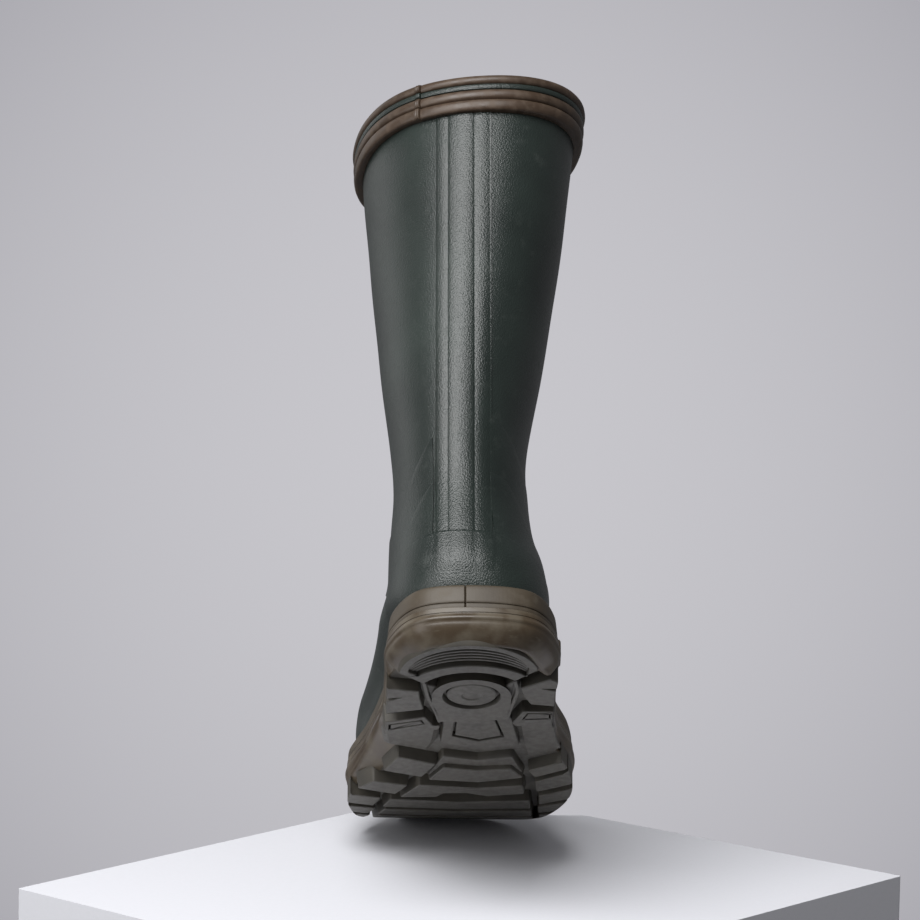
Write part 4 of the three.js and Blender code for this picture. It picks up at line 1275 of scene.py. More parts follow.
@dataclass
class Tread:
    """The lugged underside: heel window and medallion, arch plate and chevron lugs."""

    last: BootLast
    plan: SolePlan
    cup: CupSole
    rubber: Material
    medallion: tuple[float, float] = (1.5, -82.0)
    plate_radius: float = 19.7
    disc_radius: float = 12.6
    moat: float = 14.6
    heel_centre: tuple[float, float] = (-0.6, -107.5)
    edge_bevel: float = 0.45

    def bent(self, outline: Array, height: Array) -> Array:
        """A plan outline raised to a height and bent up with the toe."""
        return np.column_stack([outline, height + self.last.spring(outline[:, 1])])

    def add_lug(self, shell: Shell, lug: Lug, margin: float = 0.5) -> None:
        """Add one block: drafted walls, a small bevel and its face on the ground.

        Args:
            shell: Gathers the tread.
            lug: The block.
            margin: How far it stays inside the sole's edge.
        """
        face = round_corners(turned_left(lug.outline), lug.corner)
        insets = [self.edge_bevel, 0.0, -lug.draft * 0.5, -lug.draft]
        outlines = divide_edges([offset_outline(face, inset) for inset in insets], 3.0)
        held = [self.plan.held_inside(o, margin + i) for o, i in zip(outlines, (0.5, 0.0, 0.0, 0.0))]
        heights = [lug.face, lug.face + self.edge_bevel, mix(lug.face, lug.root, 0.5), lug.root]
        shell.add_levels([self.bent(o, h) for o, h in zip(held, heights)])

    def add_ribbon(self, shell: Shell, path: Array, width: float, face: float, root: float) -> None:
        """Add a narrow wall that follows a path on the plan.

        Args:
            shell: Gathers the tread.
            path: Middle of the wall's face.
            width: Width of its face.
            face: Height of its face.
            root: Height of its foot.
        """
        along = unit(np.gradient(path, axis=0))
        across = np.stack([-along[:, 1], along[:, 0]], -1)
        levels = []
        half = width / 2
        for reach, height in ((half - 0.3, face), (half, face + 0.35), (half + 0.6, root)):
            loop = np.concatenate([path + across * reach, (path - across * reach)[::-1]])
            levels.append(self.bent(turned_left(loop), height))
        shell.add_levels(levels)

    def base(self, shell: Shell) -> None:
        """Add the ground between the lugs, out to the cup wall's lower edge."""
        inset = self.cup.lower_edge()[0] + 1.2
        along = self.plan.drawn_in(inset)[:, 1]
        y = np.linspace(along.min() + 0.6, along.max() - 0.6, 170)
        left, right = (self.plan.edge(y, side, inset)[:, None] for side in Side)
        x = mix(left, right, np.linspace(0, 1, 50)[None])
        rows = np.broadcast_to(y[:, None], x.shape)
        low = tread_root(self.last, rows)
        outer = np.stack([x, rows, low], -1)
        inner = np.stack([x, rows, low + 2.5], -1)
        shell.add_sheet(outer, inner)

    def heel_frame(self, shell: Shell) -> None:
        """Add the fan-shaped frame at the back of the heel and its window's floor."""
        tips = ((-36.0, -108.8), (33.4, -114.6))
        rear = self.heel_centre
        outer_arc = arc(rear, 35.2, 182.0, 349.0, 40)
        outer_arc[0], outer_arc[-1] = tips
        low_arc = arc(self.medallion, 28.8, -45.0, -147.0, 24)
        low_arc[0], low_arc[-1] = (22.6, -101.4), (-22.8, -96.4)
        outer = np.concatenate([outer_arc, low_arc])
        window_top = arc(rear, 31.0, 184.5, 346.0, 40)
        window_low = arc(self.medallion, 36.6, -43.5, -139.5, 24)
        inner = np.concatenate([window_top, window_low])
        count = 130
        outer, inner = (resample(loop, count) for loop in (outer, inner))
        rings = [
            self.bent(offset_outline(outer, -3.6), 8.2), self.bent(offset_outline(outer, -0.3), 0.8),
            self.bent(offset_outline(outer, 0.3), 0.0), self.bent(offset_outline(inner, -0.25), 0.0),
            self.bent(offset_outline(inner, 0.2), 0.5), self.bent(offset_outline(inner, 0.7), 4.6)]
        rings[0][:, 0:2] = self.plan_limit(rings[0][:, 0:2])
        index = shell.add_grid(np.stack(rings), around=True)
        shell.add_cap(index[-1], np.array([0.0, -127.0, 4.6]))
        shell.add_cap(index[0][::-1], np.array([0.0, -120.0, 8.2]))

    def plan_limit(self, points: Array) -> Array:
        """Heel points kept inside the turned-in foot of the cup wall."""
        centre = np.array(self.heel_centre)
        away = points - centre
        length = np.linalg.norm(away, axis=-1, keepdims=True)
        return centre + away * np.minimum(1.0, 36.5 / np.maximum(length, 1e-6))

    def heel_plate(self, shell: Shell) -> None:
        """Add the medallion's plate with its moat, and the plain domed disc in it."""
        centre = np.array(self.medallion)
        count = 120
        rear = arc(self.medallion, self.plate_radius, 0.0, -180.0, 60)
        front = np.array([(-18.0, -74.0), (-15.2, -62.0), (-12.6, -51.6), (3.6, -52.0),
                          (19.4, -55.8), (20.8, -66.0), (21.2, -76.0)])
        outer = resample(np.concatenate([rear, front]), count)
        turn = np.arctan2(outer[:, 1] - centre[1], outer[:, 0] - centre[0])
        spokes = np.stack([np.cos(turn), np.sin(turn)], -1)
        rings = [
            self.bent(offset_outline(outer, 0.6), 8.0), self.bent(outer, 0.5),
            self.bent(offset_outline(outer, -0.4), 0.1)]
        moat, disc = self.moat, self.disc_radius
        profile = [
            (moat + 0.3, 0.1), (moat, 0.5), (moat - 0.3, 3.4), (disc + 0.5, 3.4), (disc, 1.3),
            (disc - 0.6, 0.85), (disc * 0.8, 0.7), (disc * 0.5, 0.35), (disc * 0.42, 0.35),
            (disc * 0.36, 1.0), (disc * 0.12, 1.0)]
        rings += [self.bent(centre + radius * spokes, height) for radius, height in profile]
        index = shell.add_grid(np.stack(rings), around=True)
        shell.add_cap(index[-1], np.array([centre[0], centre[1], 0.8]))
        shell.add_cap(index[0][::-1], np.array([centre[0], centre[1], 8.0]))

    def heel_blocks(self) -> list[Lug]:
        """The heel's side blocks and the two narrow strips along the plate's sides."""
        return [
            Lug([(-43.5, -91.0), (-25.2, -87.2), (-24.6, -79.0), (-22.2, -65.8), (-42.5, -59.8),
                 (-43.5, -73.2), (-33.6, -79.8), (-43.5, -77.8)], root=12.0, corner=0.5),
            Lug([(26.0, -93.0), (40.4, -104.0), (47.0, -98.0), (47.0, -92.6), (36.6, -92.9),
                 (47.0, -88.6), (47.0, -71.2), (31.6, -73.8), (28.2, -82.0)], root=12.0, corner=0.5),
            Lug([(-22.6, -92.0), (-16.0, -90.0), (-17.6, -74.0), (-15.0, -62.0), (-12.8, -52.4),
                 (-14.6, -52.4), (-18.4, -70.0), (-22.4, -84.0)], face=1.7, corner=0.4),
            Lug([(22.4, -98.0), (18.0, -92.0), (20.6, -78.0), (20.4, -66.0), (19.0, -55.8),
                 (21.0, -55.0), (23.0, -68.0), (24.6, -76.0), (25.2, -90.0)], face=1.7, corner=0.4),
        ]

    def add_framed(self, shell: Shell, block: Framed) -> None:
        """Add a block whose face is a frame round a sunk window with a panel in it.

        Args:
            shell: Gathers the tread.
            block: The block.
        """
        outer, inner = (
            self.plan.held_inside(resample(round_corners(turned_left(loop), 0.6), 120), margin)
            for loop, margin in ((block.outline, 0.6), (block.window, 1.8)))
        steps = [(outer, -0.9, block.root), (outer, 0.0, block.face + 0.4), (outer, 0.35, block.face),
                 (inner, -0.2, block.face), (inner, 0.1, block.face + 0.3), (inner, 0.35, block.floor)]
        rings = [self.bent(offset_outline(loop, inset), height) for loop, inset, height in steps]
        index = shell.add_grid(np.stack(rings), around=True)
        shell.add_cap(index[-1], rings[-1].mean(0))
        shell.add_cap(index[0][::-1], rings[0].mean(0))
        panel = offset_outline(inner, block.groove)
        insets = ((0.3, block.panel), (0.0, block.panel + 0.3), (-0.1, block.floor + 1.0))
        shell.add_levels([self.bent(offset_outline(panel, inset), height) for inset, height in insets])

    def framed_blocks(self) -> list[Framed]:
        """The heel's grooved front bars and the arch's centre plate."""
        return [
            Framed([(-41.5, -49.3), (-21.4, -56.2), (-17.0, -46.4), (-13.6, -45.8), (-13.6, -41.4),
                    (-41.5, -34.6)],
                   [(-39.4, -46.6), (-23.0, -52.4), (-20.8, -47.6), (-39.4, -39.4)]),
            Framed([(23.2, -50.2), (28.2, -64.6), (49.0, -65.2), (49.0, -46.6), (25.0, -46.8)],
                   [(28.0, -54.6), (30.6, -62.8), (45.0, -62.9), (45.0, -56.4)]),
            Framed([(-11.6, -47.6), (22.6, -51.0), (24.6, -39.0), (28.4, -16.6), (24.0, -15.4),
                    (7.4, -11.6), (-8.8, -15.8), (-12.2, -18.8), (-11.4, -38.0)],
                   [(-6.0, -46.0), (15.6, -47.6), (20.4, -26.6), (7.4, -20.6), (-6.6, -26.6)],
                   face=3.2, floor=6.4, root=11.5, groove=1.4, panel=3.7),
        ]

    def forefoot_blocks(self) -> list[Lug]:
        """Chevron rows from the ball to the toe, each split by two diverging grooves."""
        blocks = [
            Lug([(-10.6, -4.0), (7.6, 0.6), (25.2, -4.4), (31.6, 15.4), (8.8, 23.2),
                 (-17.4, 20.2)], face=2.4, draft=1.0),
            Lug([(-9.6, 5.4), (8.0, 8.6), (25.0, 6.0), (31.6, 17.4), (8.8, 24.6),
                 (-17.0, 21.8)], draft=1.4),
            Lug([(-40.6, -30.4), (-15.2, -34.0), (-16.4, -14.8), (-19.6, -4.4),
                 (-38.4, -11.6)], face=5.4, draft=2.6),
            Lug([(27.6, -42.0), (46.0, -43.0), (54.0, -12.0), (34.0, 2.6),
                 (30.6, -15.0)], face=5.4, draft=2.6),
            Lug([(-21.6, 29.8), (9.0, 33.6), (32.0, 28.6), (33.4, 41.6), (14.0, 46.6), (3.0, 41.6),
                 (-8.6, 42.6), (-12.0, 49.4), (-31.0, 50.6)], draft=1.2),
            Lug([(-33.6, -7.2), (-13.8, 1.6), (-20.6, 18.2), (-40.4, 10.6)], draft=1.4),
            Lug([(-45.6, 25.0), (-27.4, 30.6), (-33.6, 45.2), (-53.4, 36.0)], root=9.0, draft=1.2),
            Lug([(34.0, 8.0), (57.0, -7.2), (58.6, 2.2), (37.6, 16.8)], root=12.5),
            Lug([(38.2, 23.2), (60.0, 6.8), (62.0, 22.0), (39.4, 38.2)], root=12.5),
            Lug([(41.2, 45.0), (62.0, 30.0), (62.0, 45.6), (41.8, 61.6)], root=12.5),
        ]
        pitch = 24.0
        for row in range(4):
            back = 55.0 + pitch * row
            widen = 2.2 * row
            left, right = -36.0 - widen, 36.5 + widen * 0.8
            taper = 1.0 if row < 3 else 0.72
            blocks.append(Lug([(left * taper, back), (0.0, back + 4.5), (right * taper, back - 0.5),
                               ((right + 1.5) * taper, back + 16.5), (0.0, back + 21.0),
                               ((left - 3.5) * taper, back + 17.0)], draft=1.0))
            if row < 3:
                blocks.append(Lug([(-62.0, back - 10.0), (left - 5.0, back - 2.0),
                                   (left - 8.5, back + 14.5), (-62.0, back + 6.0)], root=12.5))
                blocks.append(Lug([(right + 5.0, back + 12.5), (62.0, back - 2.0), (62.0, back + 13.5),
                                   (right + 6.0, back + 28.5)], root=12.5))
        return blocks

    def build(self) -> list[Piece]:
        """The tread in one piece."""
        shell = Shell()
        self.base(shell)
        self.heel_frame(shell)
        self.heel_plate(shell)
        for lug in self.heel_blocks() + self.forefoot_blocks():
            self.add_lug(shell, lug)
        for block in self.framed_blocks():
            self.add_framed(shell, block)
        for share in np.linspace(0.17, 0.83, 5):
            middle = mix(np.array(self.medallion), np.array(self.heel_centre), share)
            start, end = mix(-46.0, -16.0, share), mix(-137.0, -173.0, share)
            rib = arc(middle, mix(36.6, 31.0, share), start, end, 50)
            self.add_ribbon(shell, rib, 1.7, 1.9, 8.0)
        rails = (
            [(-22.9, -97.0), (-21.4, -86.0), (-19.6, -76.0), (-16.4, -64.0), (-13.6, -50.5)],
            [(22.6, -101.0), (24.2, -90.0), (23.2, -78.0), (21.8, -68.0), (20.4, -54.0)])
        for rail in rails:
            self.add_ribbon(shell, smooth_path(rail), 2.0, 0.1, 8.0)
        tread = shell.build("lugged_tread", self.rubber, 32.0)
        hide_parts("outsole")
        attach(tread, Body.FOOT.value)
        return [tread]


def smooth_path(points: Sequence[tuple[float, float]], steps: int = 30) -> Array:
    """A smooth path through a bent line's corners, from its first point to its last."""
    knots = np.array(points, float)
    return through(knots, np.linspace(0, len(knots) - 1, steps))


def resample(loop: Array, count: int) -> Array:
    """A closed outline as evenly spaced points, counter-clockwise, starting on the +x side."""
    loop = turned_left(loop)
    middle = loop.mean(0)
    start = int(np.argmin(np.abs(np.arctan2(loop[:, 1] - middle[1], loop[:, 0] - middle[0]))))
    loop = np.roll(loop, -start, 0)
    closed = np.vstack([loop, loop[:1]])
    run = np.concatenate([[0.0], np.cumsum(np.linalg.norm(np.diff(closed, axis=0), axis=-1))])
    at = np.linspace(0, run[-1], count, endpoint=False)
    return np.stack([np.interp(at, run, closed[:, k]) for k in (0, 1)], -1)


# ------------------------------------------------------------------ finishes
def linear(hex_colour: str) -> tuple[float, float, float, float]:
    """Turn an sRGB hex colour into linear RGBA."""
    parts = [int(hex_colour[i:i + 2], 16) / 255.0 for i in (1, 3, 5)]
    return (*(c / 12.92 if c <= 0.04045 else ((c + 0.055) / 1.055) ** 2.4 for c in parts), 1.0)


def per_metre(millimetres: float) -> float:
    """Texture scale for a pattern whose features are that wide."""
    return 1.0 / (millimetres * MM)


@dataclass(frozen=True)
class Finish:
    """A surface that starts from a few colours and one roughness."""

    name: str
    colours: tuple[str, ...]
    roughness: float

    def start(self) -> tuple[Material, Tree, Socket]:
        """An empty material to fill.

        Returns:
            The material, its tree and the place on the piece as Object coordinates.
        """
        material = bpy.data.materials.new(self.name)
        material.use_nodes = True
        tree = material.node_tree
        tree.nodes.clear()
        return material, tree, add_node(tree, "ShaderNodeTexCoord").outputs["Object"]

    def clouds(self, tree: Tree, place: Socket, size: float, low: float = 0.35,
               high: float = 0.68, detail: float = 3.0) -> Socket:
        """Soft patches as a value from 0 to 1.

        Args:
            tree: The material's tree.
            place: Coordinates.
            size: Width of the patches in millimetres.
            low: Noise value that becomes 0.
            high: Noise value that becomes 1.
            detail: How finely the patches break up.

        Returns:
            The value's socket.
        """
        noise = add_node(tree, "ShaderNodeTexNoise", {"Scale": per_metre(size), "Detail": detail},
                         {"Vector": place})
        return add_node(tree, "ShaderNodeMapRange", {"From Min": low, "From Max": high},
                        {"Value": noise.outputs["Fac"]}).outputs["Result"]

    def layered(self, tree: Tree, base: str,
                layers: Sequence[tuple[Socket, float, str]]) -> Socket:
        """Colours laid over one another.

        Args:
            tree: The material's tree.
            base: Hex value of the lowest colour.
            layers: Where each layer lies from 0 to 1, how far it covers there, and its colour.

        Returns:
            The colour's socket.
        """
        below = None
        for where, cover, colour in layers:
            amount = add_node(tree, "ShaderNodeMapRange", {"To Max": cover}, {"Value": where})
            links = {0: amount.outputs["Result"]}
            if below is not None:
                links[6] = below
            settings = {"data_type": "RGBA", 6: linear(base), 7: linear(colour)}
            below = add_node(tree, "ShaderNodeMix", settings, links).outputs[2]
        return below

    def close(self, material: Material, links: dict[str, Socket],
              settings: dict[str, float]) -> Material:
        """End a material with its shader.

        Args:
            material: The material.
            links: Sockets that feed the shader, by the input's name.
            settings: Constants of the shader, by the input's name.

        Returns:
            The finished material.
        """
        tree = material.node_tree
        shader = add_node(tree, "ShaderNodeBsdfPrincipled",
                          {"Roughness": self.roughness, **settings}, links)
        add_node(tree, "ShaderNodeOutputMaterial", {}, {"Surface": shader.outputs[0]})
        return material


@dataclass(frozen=True)
class GrainedRubber(Finish):
    """Hand-laid natural rubber, rolled with a pebble grain and varnished: the grain breaks the soft
    highlight into specks, and the sheen greys the colour where it faces the light. The colour is also
    darkened along the pebble pattern, a painted shade in the grain."""

    grain: float = 0.85
    relief: float = 0.16

    def make(self) -> Material:
        """Build the material."""
        material, tree, place = self.start()
        base, dark, worn = self.colours
        pebbles = add_node(tree, "ShaderNodeTexVoronoi",
                           {"feature": "F1", "Scale": per_metre(self.grain)}, {"Vector": place})
        fine = add_node(tree, "ShaderNodeTexNoise",
                        {"Scale": per_metre(self.grain * 0.55), "Detail": 2.0}, {"Vector": place})
        grain = add_node(tree, "ShaderNodeMath", {"operation": "MULTIPLY_ADD", 1: 0.7},
                         {0: fine.outputs["Fac"], 2: pebbles.outputs["Distance"]})
        hand = self.clouds(tree, place, 46.0)
        rubbed = self.clouds(tree, place, 9.0, 0.6, 0.78, 6.0)
        # Painted shade: the pebbles' Voronoi distance darkens the colour, shading painted into the
        # grain.
        painted_grain_shade = pebbles.outputs["Distance"]
        colour = self.layered(
            tree, dark, [(hand, 1.0, base), (rubbed, 0.35, worn), (painted_grain_shade, 0.35, dark)])
        spots = {"operation": "MULTIPLY_ADD", 1: 0.12, 2: self.roughness - 0.06}
        gloss = add_node(tree, "ShaderNodeMath", spots, {0: rubbed})
        bump = add_node(tree, "ShaderNodeBump", {"Strength": 0.85, "Distance": self.relief * MM},
                        {"Height": grain.outputs[0]})
        return self.close(material, {"Base Color": colour, "Roughness": gloss.outputs[0],
                                     "Normal": bump.outputs[0]}, {"IOR": RUBBER_IOR})


@dataclass(frozen=True)
class PolishedRubber(Finish):
    """Smooth brown compounded rubber, moulded and wiped: a wide soft gloss with cloudy
    smudges, where handling has left a thin bloom."""

    smudge: float = 13.0

    def make(self) -> Material:
        """Build the material."""
        material, tree, place = self.start()
        base, dark, bloom = self.colours
        hand = self.clouds(tree, place, 32.0)
        smudge = self.clouds(tree, place, self.smudge, 0.42, 0.72, 5.0)
        stretched = add_node(tree, "ShaderNodeMapping", {"Scale": (1.0, 1.0, 6.0)},
                             {"Vector": place})
        scuffs = self.clouds(tree, stretched.outputs[0], 7.0, 0.62, 0.74, 8.0)
        colour = self.layered(
            tree, base, [(hand, 1.0, dark), (smudge, 0.5, bloom), (scuffs, 0.3, bloom)])
        wiped = {"To Min": self.roughness - 0.07, "To Max": self.roughness + 0.16}
        gloss = add_node(tree, "ShaderNodeMapRange", wiped, {"Value": smudge})
        skin = add_node(tree, "ShaderNodeTexNoise", {"Scale": per_metre(0.9), "Detail": 3.0},
                        {"Vector": place})
        bump = add_node(tree, "ShaderNodeBump", {"Strength": 0.35, "Distance": 0.05 * MM},
                        {"Height": skin.outputs["Fac"]})
        return self.close(material, {"Base Color": colour, "Roughness": gloss.outputs["Result"],
                                     "Normal": bump.outputs[0]}, {"IOR": RUBBER_IOR})


@dataclass(frozen=True)
class MilledRubber(Finish):
    """Calendered brown rubber strip with a fine upright milling: a matt band whose close
    lines catch the light."""

    pitch: float = 1.2

    def make(self) -> Material:
        """Build the material."""
        material, tree, place = self.start()
        base, dark, bloom = self.colours
        hand = self.clouds(tree, place, 24.0)
        dusty = self.clouds(tree, place, 6.0, 0.5, 0.8, 5.0)
        colour = self.layered(tree, base, [(hand, 1.0, dark), (dusty, 0.45, bloom)])
        flat = add_node(tree, "ShaderNodeMapping", {"Scale": (1.0, 1.0, 0.05)}, {"Vector": place})
        lines = add_node(tree, "ShaderNodeTexNoise",
                         {"Scale": per_metre(self.pitch), "Detail": 1.0},
                         {"Vector": flat.outputs[0]})
        bump = add_node(tree, "ShaderNodeBump", {"Strength": 0.5, "Distance": 0.06 * MM},
                        {"Height": lines.outputs["Fac"]})
        veiled = {"To Min": self.roughness, "To Max": self.roughness + 0.15}
        gloss = add_node(tree, "ShaderNodeMapRange", veiled, {"Value": dusty})
        return self.close(material, {"Base Color": colour, "Roughness": gloss.outputs["Result"],
                                     "Normal": bump.outputs[0]}, {"IOR": RUBBER_IOR})


@dataclass(frozen=True)
class TreadRubber(Finish):
    """Compression-moulded sole rubber that has stood on a dusty floor: matt, with its downward faces
    greyed partly by a dusting and partly by painted bounce light from the floor below; the walls keep
    the plain, darker colour."""

    def make(self) -> Material:
        """Build the material."""
        material, tree, place = self.start()
        base, dark, dust_and_bounce_grey = self.colours
        hand = self.clouds(tree, place, 20.0)
        dust_and_bounce_patches = self.clouds(tree, place, 3.2, 0.38, 0.7, 6.0)
        # Painted light: faces turned to the ground get a grey layer that is partly dusting and partly
        # painted bounce light from the floor below.
        facing = add_node(tree, "ShaderNodeNewGeometry")
        parts = add_node(tree, "ShaderNodeSeparateXYZ", {}, {0: facing.outputs["Normal"]})
        down = add_node(tree, "ShaderNodeMapRange", {"From Min": -0.45, "From Max": -0.95},
                        {"Value": parts.outputs["Z"]})
        patchy = add_node(tree, "ShaderNodeMapRange", {"To Min": 0.3, "To Max": 0.6},
                          {"Value": dust_and_bounce_patches})
        dust_and_bounce_layer = add_node(tree, "ShaderNodeMath", {"operation": "MULTIPLY"},
                        {0: down.outputs["Result"], 1: patchy.outputs["Result"]})
        colour = self.layered(tree, base, [(hand, 1.0, dark), (dust_and_bounce_layer.outputs[0], 1.0, dust_and_bounce_grey)])
        grit = add_node(tree, "ShaderNodeTexNoise", {"Scale": per_metre(0.6), "Detail": 4.0},
                        {"Vector": place})
        bump = add_node(tree, "ShaderNodeBump", {"Strength": 0.4, "Distance": 0.08 * MM},
                        {"Height": grit.outputs["Fac"]})
        return self.close(material, {"Base Color": colour, "Normal": bump.outputs[0]},
                          {"IOR": RUBBER_IOR})


@dataclass(frozen=True)
class KnitFace(Finish):
    """Nylon jersey bonded to neoprene: fine knitted wales with a soft nap."""

    wale: float = 1.1

    def make(self) -> Material:
        """Build the material."""
        material, tree, place = self.start()
        base, dark = self.colours
        waves = [
            add_node(tree, "ShaderNodeTexWave",
                     {"wave_type": "BANDS", "bands_direction": axis,
                      "Scale": per_metre(self.wale) / 20.0 * math.pi, "Distortion": 0.6},
                     {"Vector": place}).outputs["Fac"]
            for axis in ("X", "Z")]
        loops = add_node(tree, "ShaderNodeMath", {"operation": "MULTIPLY"},
                         {0: waves[0], 1: waves[1]})
        hand = self.clouds(tree, place, 30.0)
        colour = self.layered(tree, dark, [(loops.outputs[0], 0.8, base), (hand, 0.3, dark)])
        bump = add_node(tree, "ShaderNodeBump", {"Strength": 0.7, "Distance": 0.25 * MM},
                        {"Height": loops.outputs[0]})
        nap = {"IOR": RUBBER_IOR, "Sheen Weight": 0.35, "Sheen Roughness": 0.6}
        return self.close(material, {"Base Color": colour, "Normal": bump.outputs[0]}, nap)


@dataclass(frozen=True)
class Fibrous(Finish):
    """Pressed or felted fibres: short crossing strands with flecks between them."""

    strand: float = 0.8
    relief: float = 0.2

    def make(self) -> Material:
        """Build the material."""
        material, tree, place = self.start()
        base, fleck = self.colours
        strands = add_node(tree, "ShaderNodeTexNoise",
                           {"Scale": per_metre(self.strand), "Detail": 6.0, "Distortion": 2.5},
                           {"Vector": place})
        colour = self.layered(
            tree, base, [(self.clouds(tree, place, 2.4, 0.5, 0.7, 4.0), 1.0, fleck)])
        bump = add_node(tree, "ShaderNodeBump", {"Strength": 0.8, "Distance": self.relief * MM},
                        {"Height": strands.outputs["Fac"]})
        return self.close(material, {"Base Color": colour, "Normal": bump.outputs[0]},
                          {"IOR": RUBBER_IOR})


@dataclass(frozen=True)
class SpringSteel(Finish):
    """Cold-rolled spring steel: fine lengthways rolling lines and a blue-grey gloss."""

    def make(self) -> Material:
        """Build the material."""
        material, tree, place = self.start()
        drawn = add_node(tree, "ShaderNodeMapping", {"Scale": (1.0, 0.04, 1.0)},
                         {"Vector": place})
        lines = add_node(tree, "ShaderNodeTexNoise", {"Scale": per_metre(0.5), "Detail": 4.0},
                         {"Vector": drawn.outputs[0]})
        colour = self.layered(tree, self.colours[0], [(lines.outputs["Fac"], 1.0, self.colours[1])])
        gloss = add_node(tree, "ShaderNodeMapRange", {"To Min": 0.25, "To Max": 0.5},
                         {"Value": lines.outputs["Fac"]})
        return self.close(material, {"Base Color": colour, "Roughness": gloss.outputs["Result"]},
                          {"Metallic": 1.0})


def dressed(finish: Finish) -> Any:
    """A field of the wardrobe whose material is made when the wardrobe is."""
    return field(default_factory=finish.make)


@dataclass
class Wardrobe:
    """Every finish of the boot, made once."""

    # In both grained finishes the dark colour is the rubber's deepest tone and also the painted shade
    # in the grain.
    green: Material = dressed(GrainedRubber(
        "grained_natural_rubber_green", ("#28312d", "#1b2320", "#454b47"), 0.42))
    overlay: Material = dressed(GrainedRubber(
        "grained_natural_rubber_overlay", ("#262f2b", "#19211e", "#474d49"), 0.40))
    rand: Material = dressed(PolishedRubber(
        "polished_brown_rubber", ("#4b3f30", "#3c3124", "#726b5c"), 0.40))
    foxing: Material = dressed(MilledRubber(
        "milled_brown_rubber", ("#4a4134", "#3d3428", "#655d50"), 0.52))
    binding: Material = dressed(PolishedRubber(
        "extruded_brown_rubber", ("#46372b", "#35291e", "#5e4f41"), 0.46, smudge=5.0))
    # The tread's third colour stands for dusting and painted bounce light together.
    tread: Material = dressed(TreadRubber(
        "dusty_bounce_lit_tread_rubber", ("#46423a", "#34312b", "#74726e"), 0.58))
    knit: Material = dressed(KnitFace("neoprene_jersey", ("#3a3c3a", "#222422"), 0.9))
    felt: Material = dressed(Fibrous(
        "felt_footbed", ("#4a4c48", "#6b6a62"), 0.95, strand=0.7, relief=0.3))
    board: Material = dressed(Fibrous(
        "fibre_board", ("#9a8a68", "#7c6b4b"), 0.85, strand=1.4, relief=0.1))
    foam: Material = dressed(Fibrous(
        "expanded_rubber", ("#3e403e", "#2d2f2d"), 0.9, strand=0.9, relief=0.35))
    steel: Material = dressed(SpringSteel(
        "cold_rolled_spring_steel", ("#8d9194", "#b4b7b8"), 0.35))


# ------------------------------------------------------------------ inside the foot
@dataclass
class Inside:
    """What lies under the foot, from the footbed down to the steel shank."""

    last: BootLast
    finishes: Wardrobe
    sock_depth: float = 7.8
    play: float = 1.6

    def footbed(self) -> Piece:
        """The removable footbed: dished, with a raised heel cup and a rounded edge."""
        low, high = (np.array(corner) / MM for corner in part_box("footbed"))
        y = np.concatenate([
            low[1] + np.array([0.4, 1.4, 3.0]), np.linspace(low[1] + 6.0, high[1] - 7.0, 70),
            high[1] - np.array([4.0, 1.8, 0.5])])
        thick = 4.9
        base = self.last.floor(y) + 10.75
        lift = -self.sock_depth - self.play
        ends = []
        for angles in ((-2.2, -0.02), (0.02, 2.2)):
            targets = np.stack([y, base + 0.2], -1)
            station, angle = self.last.locate(
                lambda spot: spot[..., 1:], targets, (6.6, 14.9), angles, lift)
            ends.append(self.last.point(station, angle, lift)[:, 0])
        inner, outer = ends
        middle = (inner + outer) / 2
        reach = np.maximum((outer - inner) / 2, 1.0)
        across = np.sin(np.linspace(-1, 1, 46) * np.pi / 2)
        x = middle[:, None] + reach[:, None] * across[None]
        rows = np.broadcast_to(y[:, None], x.shape)
        edge = np.sqrt(np.maximum(0.0, 1.0 - np.abs(across) ** 10))[None]
        heel = (1.0 - smooth(y, -105.0, -40.0))[:, None]
        dish = 0.9 * heel * across[None] ** 2
        ends_soft = np.minimum(1.0, np.minimum(y - low[1], high[1] - y) / 3.0)[:, None] ** 0.5
        top = base[:, None] + thick * (0.2 + 0.8 * edge * ends_soft) * 0.92 + dish * edge
        bottom = np.broadcast_to(base[:, None], x.shape)
        shell = Shell()
        shell.add_sheet(np.stack([x, rows, top], -1), np.stack([x, rows, bottom], -1))
        piece = shell.build("footbed", self.finishes.felt, 50.0)
        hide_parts("footbed")
        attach(piece, Body.FOOTBED.value)
        return piece

    def build(self) -> list[Piece]:
        """The footbed, and finishes for the hidden parts that the frame already holds."""
        finishes = self.finishes
        hidden = {"heel_core": finishes.foam, "shank": finishes.steel,
                  "insole_board": finishes.board, "heel_stiffener": finishes.board,
                  "toe_puff": finishes.board}
        for node, finish in hidden.items():
            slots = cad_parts[node].data.materials
            slots.clear()
            slots.append(finish)
        return [self.footbed()]


